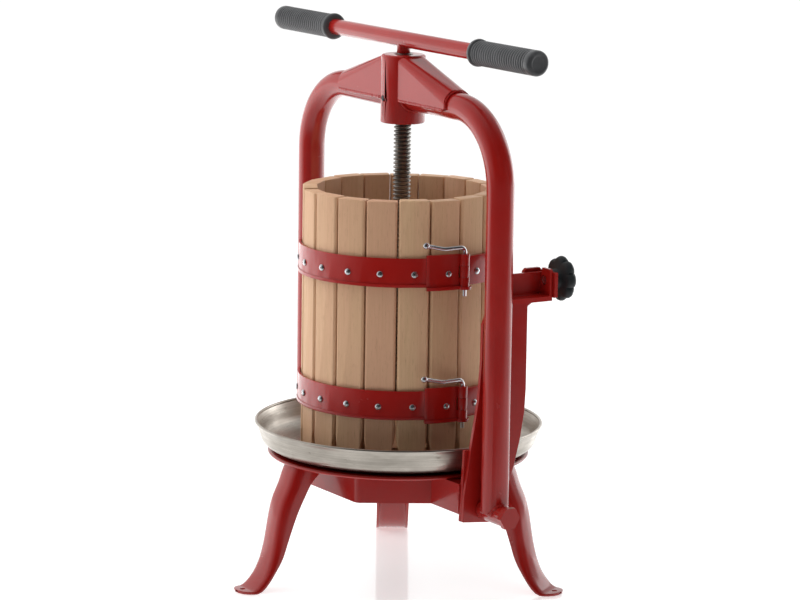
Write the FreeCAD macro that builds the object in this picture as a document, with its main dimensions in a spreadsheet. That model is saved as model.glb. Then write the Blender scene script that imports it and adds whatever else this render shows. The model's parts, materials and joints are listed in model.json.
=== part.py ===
# Fruit press: a slatted basket stands in a tray on three legs, under an arch that carries the screw.
# Millimetres, +Z up. The origin is on the floor under the screw's axis. The arch stands in the XZ
# plane, and the clamping knob that holds it upright is on the +X, +Y side.
import FreeCAD, Part
import math
import os
from types import SimpleNamespace

import Sketcher
from FreeCAD import Placement, Rotation, Vector

DRIVING_SIZES = {
    # basket
    "basket_radius": 125.5,
    "basket_height": 335.0,
    "stave_count": 19,
    "stave_thickness": 18.0,
    "stave_gap": 2.0,
    "stave_notch_height": 36.0,
    "stave_notch_width": 2.8,
    "stave_notch_slope": 10.0,
    "split_angle": 4.3,
    # bands, their hinges and their screws
    "band_height": 36.0,
    "band_thickness": 3.0,
    "lower_band_level": 62.5,
    "upper_band_level": 228.5,
    "hem_height": 4.0,
    "hem_thickness": 1.2,
    "lip_height": 4.4,
    "lip_thickness": 2.5,
    "leaf_thickness": 3.0,
    "leaf_overhang": 4.0,
    "leaf_angle": 19.0,
    "small_leaf_angle": 15.0,
    "knuckle_radius": 6.2,
    "flange_ring_radius": 8.5,
    "flange_ring_height": 3.6,
    "screw_head_radius": 4.3,
    "screw_head_height": 2.6,
    "screw_head_drop": 2.0,
    "hinge_pin_radius": 2.8,
    "hinge_pin_handle": 59.3,
    "hinge_pin_tip": 8.7,
    "hinge_pin_rise": 14.8,
    # tray
    "tray_rim_radius": 181.0,
    "tray_floor_radius": 160.0,
    "tray_corner_radius": 175.0,
    "tray_corner_height": 15.5,
    "tray_depth": 35.5,
    "tray_sheet": 1.2,
    "tray_bead_radius": 1.8,
    "spout_width": 44.0,
    "spout_reach": 213.0,
    "spout_angle": 148.0,
    # base
    "base_height": 160.5,
    "disc_radius": 160.5,
    "disc_thickness": 4.5,
    "apron_height": 38.0,
    "apron_sheet": 4.0,
    "apron_leg_face": 110.0,
    "apron_short_face": 125.0,
    "arm_width": 60.0,
    # legs
    "leg_radius": 216.0,
    "leg_width": 45.0,
    "foot_width": 42.0,
    "leg_sheet": 3.5,
    "toe_length": 18.0,
    "toe_hole_radius": 3.5,
    # plates at the ends of the arms, and the pivots on them
    "plate_inner_face": 192.0,
    "plate_thickness": 5.0,
    "plate_width": 62.0,
    "right_plate_top": 199.0,
    "left_plate_top": 198.0,
    "plate_taper": 4.5,
    "plate_foot_slope": 6.0,
    "pivot_height": 124.0,
    "pivot_pin_radius": 7.0,
    "pivot_head_radius": 11.0,
    "pivot_head_length": 6.0,
    "barrel_radius": 12.5,
    "barrel_end": 258.0,
    "barrel_cap": 2.5,
    "barrel_head_width": 25.0,
    "barrel_head_length": 8.0,
    # bar that the arch leans against, and its clamp
    "bar_thickness": 5.0,
    "bar_lean": 28.0,
    "stud_height": 406.0,
    "stud_place": 218.5,
    "catch_rise": 13.0,
    "catch_reach": 79.0,
    "bar_top_drop": 10.0,
    "flange_thickness": 5.0,
    "flange_reach": 34.0,
    "bracket_sheet": 4.0,
    "shelf_thickness": 6.0,
    "shelf_drop": 24.0,
    "shelf_reach": 22.0,
    "bracket_gap": 4.0,
    "corner_cut": 8.5,
    "stud_clearance": 1.2,
    "stud_radius": 4.5,
    "stud_length": 31.0,
    "knob_radius": 28.0,
    "knob_thickness": 13.0,
    "knob_lobes": 8,
    "knob_neck_radius": 12.0,
    "knob_neck_length": 7.5,
    "washer_radius": 10.0,
    "washer_thickness": 2.0,
    # arch
    "arch_half_width": 225.0,
    "arch_top": 612.0,
    "arch_bend_radius": 92.0,
    "arch_tube_radius": 17.0,
    "arch_tube_wall": 2.5,
    "gusset_rise": 51.0,
    "gusset_ridge_start": 20.0,
    "gusset_reach": 126.0,
    "gusset_shoulder": 8.0,
    "gusset_end_shoulder": 18.0,
    "gusset_skirt": 3.0,
    "gusset_sheet": 3.0,
    "housing_radius": 28.0,
    "housing_bottom": 578.0,
    "housing_top": 663.5,
    "housing_wall": 11.0,
    "housing_lid": 8.0,
    "oil_hole_radius": 1.75,
    "nut_inset": 5.0,
    # screw and handle
    "screw_radius": 11.0,
    "screw_bottom": 240.0,
    "screw_chamfer": 1.5,
    "neck_radius": 8.5,
    "neck_gap": 1.5,
    "neck_length": 17.0,
    "handle_half_length": 298.0,
    "handle_radius": 10.0,
    "handle_wall": 2.0,
    "grip_radius": 15.5,
    "grip_length": 134.0,
    "grip_collar_radius": 17.0,
    "grip_collar_length": 4.0,
    "grip_cap": 3.5,
    "grip_chamfer": 1.5,
    "foot_radius": 16.0,
    "foot_height": 20.0,
    "foot_socket": 10.0,
    # pressing disc
    "press_disc_clearance": 2.5,
    "press_disc_thickness": 22.0,
    # clearances
    "running_clearance": 0.05,
    "seat_clearance": 0.05,
    "clamp_gap": 0.3,
}


class Size:
    # A size that knows both its value and the expression that gives it from the sheet.
    def __init__(self, value, text):
        self.value = value
        self.text = text

    def __add__(self, other):
        other = as_size(other)
        return Size(self.value + other.value, f"({self.text} + {other.text})")

    def __sub__(self, other):
        other = as_size(other)
        return Size(self.value - other.value, f"({self.text} - {other.text})")

    def __mul__(self, other):
        other = as_size(other)
        return Size(self.value * other.value, f"({self.text} * {other.text})")

    def __truediv__(self, other):
        other = as_size(other)
        return Size(self.value / other.value, f"({self.text} / {other.text})")

    def __neg__(self):
        return Size(-self.value, f"(0 - {self.text})")

    def __radd__(self, other):
        return as_size(other) + self

    def __rsub__(self, other):
        return as_size(other) - self

    def __rmul__(self, other):
        return as_size(other) * self

    def __float__(self):
        return float(self.value)


def as_size(thing):
    return thing if isinstance(thing, Size) else Size(float(thing), f"({float(thing)})")


doc = FreeCAD.newDocument("FruitPress")
sheet = doc.addObject("Spreadsheet::Sheet", "Sizes")
for row, (name, value) in enumerate(DRIVING_SIZES.items(), start=1):
    sheet.set(f"A{row}", name)
    sheet.set(f"B{row}", str(value))
    sheet.setAlias(f"B{row}", name)
doc.recompute()
S = SimpleNamespace(**{name: Size(value, f"Sizes.{name}") for name, value in DRIVING_SIZES.items()})

X_AXIS = Rotation(Vector(0, 0, 1), Vector(1, 0, 0))
Y_AXIS = Rotation(Vector(0, 0, 1), Vector(0, 1, 0))
UPRIGHT = Rotation()

nodes = {}


def about_z(degrees):
    return Rotation(Vector(0, 0, 1), float(degrees))


def bind(thing, prop, size):
    thing.setExpression(prop, as_size(size).text)


def seat(thing, x=0, y=0, z=0, turn=UPRIGHT):
    thing.Placement = Placement(Vector(float(x), float(y), float(z)), turn)
    for axis, size in zip("xyz", (x, y, z)):
        if isinstance(size, Size):
            bind(thing, f"Placement.Base.{axis}", size)
    return thing


def keep(node, thing):
    # Makes a finished solid a sub-part of its own.
    thing.Label = node
    nodes[node] = thing
    return thing


# Primitives and booleans

def cylinder(radius, height, x=0, y=0, z=0, turn=UPRIGHT, angle=360):
    thing = doc.addObject("Part::Cylinder", "Cylinder")
    bind(thing, "Radius", radius)
    bind(thing, "Height", height)
    bind(thing, "Angle", angle)
    return seat(thing, x, y, z, turn)


def box(length, width, height, x=0, y=0, z=0, turn=UPRIGHT):
    thing = doc.addObject("Part::Box", "Box")
    bind(thing, "Length", length)
    bind(thing, "Width", width)
    bind(thing, "Height", height)
    return seat(thing, x, y, z, turn)


def triangle_prism(face_distance, height, z, turn):
    thing = doc.addObject("Part::Prism", "Prism")
    thing.Polygon = 3
    bind(thing, "Circumradius", 2 * face_distance)
    bind(thing, "Height", height)
    return seat(thing, z=z, turn=turn)


def fuse(*parts):
    thing = doc.addObject("Part::MultiFuse", "Fuse")
    thing.Shapes = list(parts)
    thing.Refine = True
    return thing


def common(*parts):
    thing = doc.addObject("Part::MultiCommon", "Common")
    thing.Shapes = list(parts)
    return thing


def cut(base, *tools):
    thing = doc.addObject("Part::Cut", "Cut")
    thing.Base = base
    thing.Tool = tools[0] if len(tools) == 1 else fuse(*tools)
    thing.Refine = True
    return thing


# Bodies made from sketches

def new_body(name):
    return doc.addObject("PartDesign::Body", name)


def sketch_on(body, role):
    sketch = body.newObject("Sketcher::SketchObject", "Sketch")
    plane = next(feature for feature in body.Origin.OriginFeatures if feature.Role == role)
    sketch.AttachmentSupport = [(plane, "")]
    sketch.MapMode = "FlatFace"
    return sketch


def pin_point(sketch, geometry, end, point):
    # Holds a point of the sketch at a place given by sizes.
    for kind, size in zip(("DistanceX", "DistanceY"), point):
        index = sketch.addConstraint(Sketcher.Constraint(kind, -1, 1, geometry, end, float(size)))
        if isinstance(size, Size):
            bind(sketch, f"Constraints[{index}]", size)


def draw_outline(sketch, points):
    ends = [Vector(float(a), float(b), 0) for a, b in points]
    first = sketch.GeometryCount
    count = len(points)
    for i in range(count):
        sketch.addGeometry(Part.LineSegment(ends[i], ends[(i + 1) % count]), False)
    for i in range(count):
        follower = first + (i + 1) % count
        sketch.addConstraint(Sketcher.Constraint("Coincident", first + i, 2, follower, 1))
    for i, point in enumerate(points):
        pin_point(sketch, first + i, 1, point)


def draw_circle(sketch, centre, radius):
    middle = Vector(float(centre[0]), float(centre[1]), 0)
    circle = sketch.addGeometry(Part.Circle(middle, Vector(0, 0, 1), float(radius)), False)
    pin_point(sketch, circle, 3, centre)
    index = sketch.addConstraint(Sketcher.Constraint("Radius", circle, float(radius)))
    bind(sketch, f"Constraints[{index}]", radius)


def pad(body, sketch, length, midplane=False):
    feature = body.newObject("PartDesign::Pad", "Pad")
    feature.Profile = sketch
    bind(feature, "Length", length)
    if midplane:
        feature.SideType = "Symmetric"
    return feature


def pocket(body, sketch, length, midplane=False):
    feature = body.newObject("PartDesign::Pocket", "Pocket")
    feature.Profile = sketch
    bind(feature, "Length", length)
    if midplane:
        feature.SideType = "Symmetric"
    return feature


def revolve(body, sketch, axis):
    feature = body.newObject("PartDesign::Revolution", "Revolution")
    feature.Profile = sketch
    feature.ReferenceAxis = (sketch, [axis])
    feature.Angle = 360
    return feature


def turned_about_z(name, profile):
    # A solid of revolution about Z from (radius, height) points.
    body = new_body(name)
    sketch = sketch_on(body, "XZ_Plane")
    draw_outline(sketch, profile)
    revolve(body, sketch, "V_Axis")
    return body


def turned_about_x(name, profile):
    # A solid of revolution about X from (along, radius) points.
    body = new_body(name)
    sketch = sketch_on(body, "XZ_Plane")
    draw_outline(sketch, profile)
    revolve(body, sketch, "H_Axis")
    return body


def cross_plate(name, outline, thickness, x, hole=None):
    # A flat plate across X from (y, z) points, with a round hole if one is given.
    body = new_body(name)
    sketch = sketch_on(body, "YZ_Plane")
    draw_outline(sketch, outline)
    if hole:
        draw_circle(sketch, *hole)
    pad(body, sketch, thickness)
    return seat(body, x=x)


def shaped(name, shape, turn=UPRIGHT):
    # A sub-part whose shape is worked out here from the sheet's sizes.
    thing = doc.addObject("Part::Feature", name)
    thing.Shape = shape
    thing.Placement = Placement(Vector(), turn)
    return thing


# Levels and places that several pieces share
disc_bottom = S.base_height - S.disc_thickness
apron_bottom = disc_bottom - S.apron_height
tray_floor = S.base_height + S.tray_sheet
basket_top = tray_floor + S.basket_height
plate_outer_face = S.plate_inner_face + S.plate_thickness
bar_outer_face = plate_outer_face + S.bar_thickness
stave_half_turn = math.pi / S.stave_count.value
stave_face = S.basket_radius * math.cos(stave_half_turn)
stave_back = stave_face - S.stave_thickness
band_inner = S.basket_radius + S.seat_clearance * 4
band_outer = band_inner + S.band_thickness
leaf_outer = band_outer + S.leaf_thickness
hinge_place = band_outer + S.knuckle_radius * 0.8
stave_pitch = 360 / S.stave_count.value
half_count = S.stave_count.value // 2
splits = (S.split_angle.value, S.split_angle.value + half_count * stave_pitch)


# Base: a six-sided apron with an arm to each side, under a round disc

def apron_prism(inset):
    leg_faces = triangle_prism(S.apron_leg_face - inset, S.apron_height, apron_bottom, about_z(90))
    short_faces = triangle_prism(S.apron_short_face - inset, S.apron_height, apron_bottom, about_z(-90))
    return common(leg_faces, short_faces)


keep("base_disc", cylinder(S.disc_radius, S.disc_thickness, z=disc_bottom))
keep("base_frame", cut(apron_prism(0), apron_prism(S.apron_sheet)))


def make_arm(node, start):
    # An open-bottomed channel from the apron's corner to the plate at its end.
    outer = box(S.plate_inner_face, S.arm_width, S.apron_height, x=start,
                y=-S.arm_width / 2, z=apron_bottom)
    inner = box(S.plate_inner_face + 2, S.arm_width - 2 * S.apron_sheet, S.apron_height, x=start - 1,
                y=S.apron_sheet - S.arm_width / 2, z=apron_bottom - S.apron_sheet)
    return keep(node, cut(outer, inner, apron_prism(0)))


make_arm("arm_right", as_size(0))
make_arm("arm_left", -S.plate_inner_face)


# Legs: bent channels, open towards the middle, each ending in a flat toe with a screw hole

LEG_WEB = [(-57, 1.0), (-52, 0.93), (-46.5, 0.835), (-38, 0.72), (-33, 0.6), (-29.5, 0.475),
           (-26, 0.356), (-21, 0.231), (-13, 0.119), (-3, 0.05), (4, 0.026)]
LEG_EDGE = [(-104, 0.975), (-90, 0.925), (-77, 0.856), (-66, 0.74), (-57.5, 0.631), (-50.5, 0.519),
            (-43.5, 0.394), (-36.5, 0.269), (-29, 0.181), (-20, 0.094), (-11, 0.031), (-4, 0.0)]


def leg_points(table):
    # Places given from the foot's contact circle, and as shares of the height under the disc.
    high = disc_bottom.value
    return [Vector(S.leg_radius.value + out, 0, high * up) for out, up in table]


def shifted(points, distance):
    # The same curve moved sideways by a distance, to the right of its direction.
    moved = []
    for i, point in enumerate(points):
        before = points[max(i - 1, 0)]
        after = points[min(i + 1, len(points) - 1)]
        along = (after - before).normalize()
        moved.append(point + Vector(along.z, 0, -along.x) * distance)
    return moved


def smooth(points):
    curve = Part.BSplineCurve()
    curve.interpolate(points)
    return curve.toShape()


def line(a, b):
    return Part.makeLine(a, b)


def tapered(width_top, width_foot, reach):
    # A block as wide as the leg, narrowing from the disc to the foot.
    high = disc_bottom.value
    corners = [Vector(0, -width_top / 2, high), Vector(0, -width_foot / 2, 0),
               Vector(0, width_foot / 2, 0), Vector(0, width_top / 2, high)]
    face = Part.Face(Part.makePolygon(corners + corners[:1]))
    return face.extrude(Vector(reach, 0, 0))


def leg_shape():
    sheet_thick = S.leg_sheet.value
    toe_thick = sheet_thick + 0.5
    toe_end = S.leg_radius.value + S.toe_length.value
    web = leg_points(LEG_WEB)
    edge = leg_points(LEG_EDGE)
    web[-1] = Vector(web[-1].x, 0, toe_thick)
    top_inner = Vector((S.apron_leg_face + S.seat_clearance).value, 0, disc_bottom.value)
    outline = [smooth(web),
               line(web[-1], Vector(toe_end, 0, toe_thick)),
               line(Vector(toe_end, 0, toe_thick), Vector(toe_end, 0, 0)),
               line(Vector(toe_end, 0, 0), edge[-1]),
               smooth(edge[::-1]),
               line(edge[0], top_inner),
               line(top_inner, web[0])]
    reach = toe_end + 10
    width = S.leg_width.value
    foot = S.foot_width.value
    profile = Part.Face(Part.Wire(Part.__sortEdges__(outline)))
    profile.translate(Vector(0, -width, 0))
    solid = profile.extrude(Vector(0, 2 * width, 0)).common(tapered(width, foot, reach))
    inside = shifted(web, sheet_thick)[:-2]
    behind = [point + Vector(-30, 0, -30) for point in leg_points(LEG_EDGE)]
    above = Vector(inside[0].x, 0, inside[0].z + 20)
    hollow = Part.Face(Part.Wire([smooth(inside), line(inside[-1], behind[-1]),
                                  line(behind[-1], Vector(0, 0, -20)), line(Vector(0, 0, -20), Vector(0, 0, above.z)),
                                  line(Vector(0, 0, above.z), above), line(above, inside[0])]))
    hollow.translate(Vector(0, -width, 0))
    core = hollow.extrude(Vector(0, 2 * width, 0))
    core = core.common(tapered(width - 2 * sheet_thick, foot - 2 * sheet_thick, reach))
    solid = solid.cut(core)
    hole = Part.makeCylinder(S.toe_hole_radius.value, 40, Vector(toe_hole_place(), 0, -10))
    return solid.cut(hole)


def toe_hole_place():
    return S.leg_radius.value + S.toe_length.value / 2


for node, angle in {"leg_front": 270, "leg_right": 30, "leg_back": 150}.items():
    keep(node, shaped(node, leg_shape(), about_z(angle)))


# Plates at the ends of the arms, and the bar that the arch leans against

plate_foot = S.pivot_height - 14


def end_plate(node, top, taper, turn):
    half = S.plate_width / 2
    outline = [(-half, plate_foot), (half, plate_foot), (half, top), (taper - half, top)]
    hole = ((0, S.pivot_height), S.pivot_pin_radius + S.seat_clearance)
    body = cross_plate(node, outline, S.plate_thickness, 0, hole)
    side = 1 if turn is UPRIGHT else -1
    seat(body, x=side * S.plate_inner_face, turn=turn)
    return keep(node, body)


end_plate("end_plate_right", S.right_plate_top, S.plate_taper, UPRIGHT)
end_plate("end_plate_left", S.left_plate_top, as_size(0), about_z(180))

bar_edge = S.bar_lean + 30.5
bar_top = S.stud_height - S.bar_top_drop
catch_top = S.stud_height + S.catch_rise
bar_outline = [
    (-30.5, plate_foot), (30.5, plate_foot - S.plate_foot_slope), (31.0, S.pivot_height + 16),
    (bar_edge - 16, S.pivot_height + 48), (bar_edge - 7.5, S.pivot_height + 81),
    (bar_edge - 1.5, S.pivot_height + 116), (bar_edge, S.pivot_height + 146),
    (bar_edge, bar_top - 24), (S.catch_reach, bar_top - 12),
    (S.catch_reach, catch_top - 4), (S.catch_reach - 4, catch_top),
    (bar_edge - 3.5, catch_top), (bar_edge - 7, catch_top - 3.5),
    (bar_edge - 7, bar_top), (S.bar_lean - 17, bar_top),
    (S.bar_lean - 34.5, bar_top - 42), (S.bar_lean - 35, bar_top - 86),
    (S.bar_lean - 38.4, S.pivot_height + 137), (S.bar_lean - 48.7, S.pivot_height + 76),
    (-29.6, S.pivot_height + 16),
]
keep("support_bar", cross_plate("support_bar", bar_outline, S.bar_thickness, plate_outer_face,
                                ((0, S.pivot_height), S.pivot_pin_radius + S.seat_clearance)))

flange_face = S.catch_reach - S.flange_thickness
flange = box(S.flange_reach, S.flange_thickness, catch_top - bar_top + 8,
             x=bar_outer_face, y=flange_face, z=bar_top - 10)
flange_hole = cylinder(S.stud_radius + 1, S.flange_thickness + 4, x=S.stud_place,
                       y=flange_face - 2, z=S.stud_height, turn=Y_AXIS)
keep("latch_flange", cut(flange, flange_hole))


def pivot_pin(node, turn):
    # A shoulder bolt through the plate, with its head inside the arm.
    start = S.plate_inner_face - S.pivot_head_length
    profile = [(start, 0), (start, S.pivot_head_radius), (S.plate_inner_face, S.pivot_head_radius),
               (S.plate_inner_face, S.pivot_pin_radius), (S.barrel_end - 0.5, S.pivot_pin_radius),
               (S.barrel_end - 0.5, 0)]
    body = turned_about_x(node, profile)
    return keep(node, seat(body, z=S.pivot_height, turn=turn))


pivot_pin("pivot_pin_right", UPRIGHT)
pivot_pin("pivot_pin_left", about_z(180))


# Tray: a spun steel dish with a beaded rim and an outlet

tray_corner = S.base_height + S.tray_corner_height
tray_sketch_points = [
    (0, S.base_height), (S.tray_floor_radius, S.base_height),
    (S.tray_corner_radius - 5, S.base_height + 5), (S.tray_corner_radius, tray_corner),
    (S.tray_rim_radius, S.base_height + S.tray_depth),
    (S.tray_rim_radius - S.tray_sheet, S.base_height + S.tray_depth),
    (S.tray_corner_radius - S.tray_sheet, tray_corner),
    (S.tray_corner_radius - 5 - S.tray_sheet, S.base_height + 5.6),
    (S.tray_floor_radius - S.tray_sheet, tray_floor), (0, tray_floor),
]
tray_dish = turned_about_z("tray_dish", tray_sketch_points)
bead = doc.addObject("Part::Torus", "Torus")
bind(bead, "Radius1", S.tray_rim_radius)
bind(bead, "Radius2", S.tray_bead_radius)
seat(bead, z=S.base_height + S.tray_depth)
spout_length = S.spout_reach - S.tray_floor_radius + 4
spout_height = S.tray_depth * 0.55
spout_outer = box(spout_length, S.spout_width, spout_height,
                  x=S.tray_floor_radius - 4, y=-S.spout_width / 2, z=S.base_height)
spout_channel = box(spout_length + 20, S.spout_width - 2 * S.tray_sheet, spout_height + 1,
                    x=S.tray_floor_radius - 14, y=S.tray_sheet - S.spout_width / 2, z=tray_floor)
dish_with_spout = fuse(tray_dish, bead, spout_outer)
tray = cut(dish_with_spout, spout_channel)
tray.Placement = Placement(Vector(), about_z(S.spout_angle.value))
keep("tray", tray)


# Basket: staves with bevelled sides, screwed to two pairs of half bands

def stave_outline(distance, across):
    # The corners of a stave's face at a distance from the axis, as wide as its angle leaves there.
    half = distance * math.tan(stave_half_turn) - S.stave_gap.value / 2
    notched = half - S.stave_notch_width.value
    low = tray_floor.value
    notch = low + S.stave_notch_height.value
    high = basket_top.value
    corners = [Vector(distance, -notched, low), Vector(distance, notched, low),
               Vector(distance, notched, notch - across), Vector(distance, half, notch),
               Vector(distance, half, high), Vector(distance, -half, high),
               Vector(distance, -half, notch), Vector(distance, -notched, notch - across)]
    return Part.makePolygon(corners + corners[:1])


def stave_shape():
    notch_slope = S.stave_notch_slope.value
    return Part.makeLoft([stave_outline(stave_back.value, notch_slope),
                          stave_outline(stave_face.value, notch_slope)], True, True)


stave_angles = [S.split_angle.value + (k + 0.5) * stave_pitch for k in range(int(S.stave_count.value))]
for number, angle in enumerate(stave_angles, start=1):
    node = f"stave_{number:02d}"
    keep(node, shaped(node, stave_shape(), about_z(angle)))

BAND_END_ANGLE = 3.1


def ring_sector(inner, outer, height, z, start, span):
    turn = about_z(start)
    body = cylinder(outer, height, z=z, turn=turn, angle=span)
    core = cylinder(inner, height + 2, z=z - 1)
    return cut(body, core)


def knuckle(angle, z, height):
    radians = math.radians(angle)
    return cylinder(S.knuckle_radius, height, x=hinge_place * math.cos(radians),
                    y=hinge_place * math.sin(radians), z=z)


def half_band(node, level, start_split, end_split, outer_at_start):
    # Half a band with a hemmed lower edge. The large leaf at its end has a lip and two knuckles, the
    # small one at its start has one knuckle.
    z = tray_floor + level
    leaf_low = z - S.leaf_overhang
    leaf_high = S.band_height + 2 * S.leaf_overhang
    third = leaf_high / 3
    start = start_split + BAND_END_ANGLE
    end = end_split - BAND_END_ANGLE
    leaf_start = end - S.leaf_angle.value
    ring_place = math.radians(end_split)
    parts = [ring_sector(band_inner, band_outer, S.band_height, z, start, end - start),
             ring_sector(band_outer, band_outer + S.hem_thickness, S.hem_height, z, start, leaf_start - start),
             ring_sector(band_outer, leaf_outer, S.band_height, z, start, S.small_leaf_angle),
             ring_sector(band_outer, leaf_outer, leaf_high, leaf_low, leaf_start, S.leaf_angle),
             ring_sector(leaf_outer, leaf_outer + S.lip_thickness, S.lip_height, leaf_low, leaf_start,
                         S.leaf_angle),
             cylinder(S.flange_ring_radius, S.flange_ring_height, x=hinge_place * math.cos(ring_place),
                      y=hinge_place * math.sin(ring_place), z=leaf_low)]
    for split, outer_pair in ((start_split, outer_at_start), (end_split, not outer_at_start)):
        tab_start = split if split == start_split else split - BAND_END_ANGLE - 0.5
        levels = [(0, 1), (2, 1)] if outer_pair else [(1, 1)]
        for step, size in levels:
            low = leaf_low + third * step + S.clamp_gap / 2
            high = third - S.clamp_gap
            parts.append(knuckle(split, low, high))
            parts.append(ring_sector(band_outer, leaf_outer, high, low, tab_start,
                                     BAND_END_ANGLE + 0.5))
    bores = []
    for split in (start_split, end_split):
        radians = math.radians(split)
        bores.append(cylinder(S.hinge_pin_radius + S.running_clearance, leaf_high + 4,
                              x=hinge_place * math.cos(radians), y=hinge_place * math.sin(radians),
                              z=leaf_low - 2))
    return keep(node, cut(fuse(*parts), *bores))


for name, level in {"lower": S.lower_band_level, "upper": S.upper_band_level}.items():
    half_band(f"{name}_band_back", level, splits[0], splits[1], False)
    half_band(f"{name}_band_front", level, splits[1], splits[0] + 360, False)


def dome(radius, height):
    # A low round head with a flat base at z 0.
    ball = (radius ** 2 + height ** 2) / (2 * height)
    cap = Part.makeSphere(ball, Vector(0, 0, height - ball))
    return cap.common(Part.makeCylinder(radius, height))


def screw_heads():
    heads = []
    for level in (S.lower_band_level, S.upper_band_level):
        z = (tray_floor + level + S.band_height / 2 - S.screw_head_drop).value
        for angle in stave_angles:
            near = min(abs((angle - split + 180) % 360 - 180) for split in splits)
            on_leaf = near < BAND_END_ANGLE + S.leaf_angle.value
            out = (leaf_outer if on_leaf else band_outer).value + S.seat_clearance.value
            head = dome(S.screw_head_radius.value, S.screw_head_height.value)
            head.Placement = Placement(Vector(out, 0, z), X_AXIS)
            head.rotate(Vector(), Vector(0, 0, 1), angle)
            heads.append(head)
    return Part.makeCompound(heads)


keep("band_screws", shaped("band_screws", screw_heads()))


def bent_path(corners, radii):
    # A path of straight runs and arcs through corner points, with a bend radius at each inner corner.
    pieces = []
    start = corners[0]
    for before, corner, after, radius in zip(corners, corners[1:], corners[2:], radii):
        arriving = (corner - before).normalize()
        leaving = (after - corner).normalize()
        turn = arriving.getAngle(leaving)
        cut_back = radius * math.tan(turn / 2)
        bend_start = corner - arriving * cut_back
        bend_end = corner + leaving * cut_back
        inward = (leaving - arriving).normalize()
        bend_middle = corner + inward * (radius / math.cos(turn / 2) - radius)
        pieces.append(line(start, bend_start))
        pieces.append(Part.Arc(bend_start, bend_middle, bend_end).toShape())
        start = bend_end
    pieces.append(line(start, corners[-1]))
    return Part.Wire(pieces)


def hinge_pin_shape(level):
    # A bent rod: an upright shank, and a handle that runs level, then rises to a small ball.
    radius = S.hinge_pin_radius.value
    low = (tray_floor + level).value - S.leaf_overhang.value - S.hinge_pin_tip.value
    high = (tray_floor + level + S.band_height + S.leaf_overhang).value
    out = hinge_place.value
    handle = S.hinge_pin_handle.value
    rise = S.hinge_pin_rise.value
    corners = [Vector(out, 0, low), Vector(out, 0, high + rise * 0.56), Vector(out, -handle * 0.53, high + rise * 0.56),
               Vector(out, -handle, high + rise)]
    path = bent_path(corners, [radius * 2.6, radius * 9])
    section = Part.Wire(Part.makeCircle(radius, corners[0], Vector(0, 0, 1)))
    rod = path.makePipeShell([section], True, False)
    ball = Part.makeSphere(radius * 1.5, corners[-1])
    return rod.fuse(ball).removeSplitter()


for name, level in {"lower": S.lower_band_level, "upper": S.upper_band_level}.items():
    for side, split in zip(("right", "left"), splits):
        node = f"{name}_hinge_pin_{side}"
        keep(node, shaped(node, hinge_pin_shape(level), about_z(split)))

press_disc_radius = stave_back - S.press_disc_clearance
keep("press_disc", cylinder(press_disc_radius, S.press_disc_thickness, z=tray_floor))


# Arch: two bent tubes welded to the nut housing, with a folded gusset over each and a barrel under each

tube_foot = S.pivot_height + 2


def arch_tube(node, turn):
    # One bent tube, coped to the housing at its top and to the pivot barrel at its foot.
    body = new_body(node + "_pipe")
    section = sketch_on(body, "XY_Plane")
    draw_circle(section, (S.arch_half_width, 0), S.arch_tube_radius)
    draw_circle(section, (S.arch_half_width, 0), S.arch_tube_radius - S.arch_tube_wall)
    path = sketch_on(body, "XZ_Plane")
    rise = S.arch_top - tube_foot
    bend_start = rise - S.arch_bend_radius
    bend_end = S.arch_half_width - S.arch_bend_radius
    inner_end = S.housing_radius / 2
    corner = Vector(bend_end.value, bend_start.value, 0)
    radius = S.arch_bend_radius.value
    path.addGeometry(Part.LineSegment(Vector(S.arch_half_width.value, 0, 0),
                                      Vector(S.arch_half_width.value, bend_start.value, 0)), False)
    round_bend = Part.Circle(corner, Vector(0, 0, 1), radius)
    path.addGeometry(Part.ArcOfCircle(round_bend, 0, math.pi / 2), False)
    path.addGeometry(Part.LineSegment(Vector(bend_end.value, rise.value, 0),
                                      Vector(inner_end.value, rise.value, 0)), False)
    path.addConstraint(Sketcher.Constraint("Coincident", 0, 2, 1, 1))
    path.addConstraint(Sketcher.Constraint("Coincident", 1, 2, 2, 1))
    pin_point(path, 0, 1, (S.arch_half_width, 0))
    pin_point(path, 0, 2, (S.arch_half_width, bend_start))
    pin_point(path, 1, 2, (bend_end, rise))
    pin_point(path, 2, 2, (inner_end, rise))
    pin_point_radius = path.addConstraint(Sketcher.Constraint("Radius", 1, radius))
    bind(path, f"Constraints[{pin_point_radius}]", S.arch_bend_radius)
    pipe = body.newObject("PartDesign::AdditivePipe", "Pipe")
    pipe.Profile = section
    pipe.Spine = (path, ["Edge1", "Edge2", "Edge3"])
    seat(body, z=tube_foot)
    around_housing = cylinder(S.housing_radius, S.arch_tube_radius * 4, z=S.arch_top - S.arch_tube_radius * 2)
    around_barrel = cylinder(S.barrel_radius, S.arch_tube_radius * 4,
                             x=S.arch_half_width - S.arch_tube_radius * 2, z=S.pivot_height, turn=X_AXIS)
    tube = cut(body, around_housing, around_barrel)
    tube.Placement = Placement(Vector(), turn)
    return keep(node, tube)


arch_tube("arch_tube_right", UPRIGHT)
arch_tube("arch_tube_left", about_z(180))


def pivot_barrel(node, turn):
    # A short tube that ends in a closed six-sided head with a flat on top.
    start = bar_outer_face + 1
    end = S.barrel_end + S.barrel_cap
    head_start = end - S.barrel_head_length
    sleeve = cylinder(S.barrel_radius, head_start - start, x=start, z=S.pivot_height, turn=X_AXIS)
    head = doc.addObject("Part::Prism", "Prism")
    head.Polygon = 6
    bind(head, "Circumradius", S.barrel_head_width / math.sqrt(3))
    bind(head, "Height", S.barrel_head_length)
    seat(head, x=head_start, z=S.pivot_height, turn=X_AXIS * about_z(30))
    bore = cylinder(S.pivot_pin_radius + S.running_clearance, S.barrel_end, z=S.pivot_height, turn=X_AXIS)
    barrel = cut(fuse(sleeve, head), bore)
    barrel.Placement = Placement(Vector(), turn)
    return keep(node, barrel)


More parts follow.
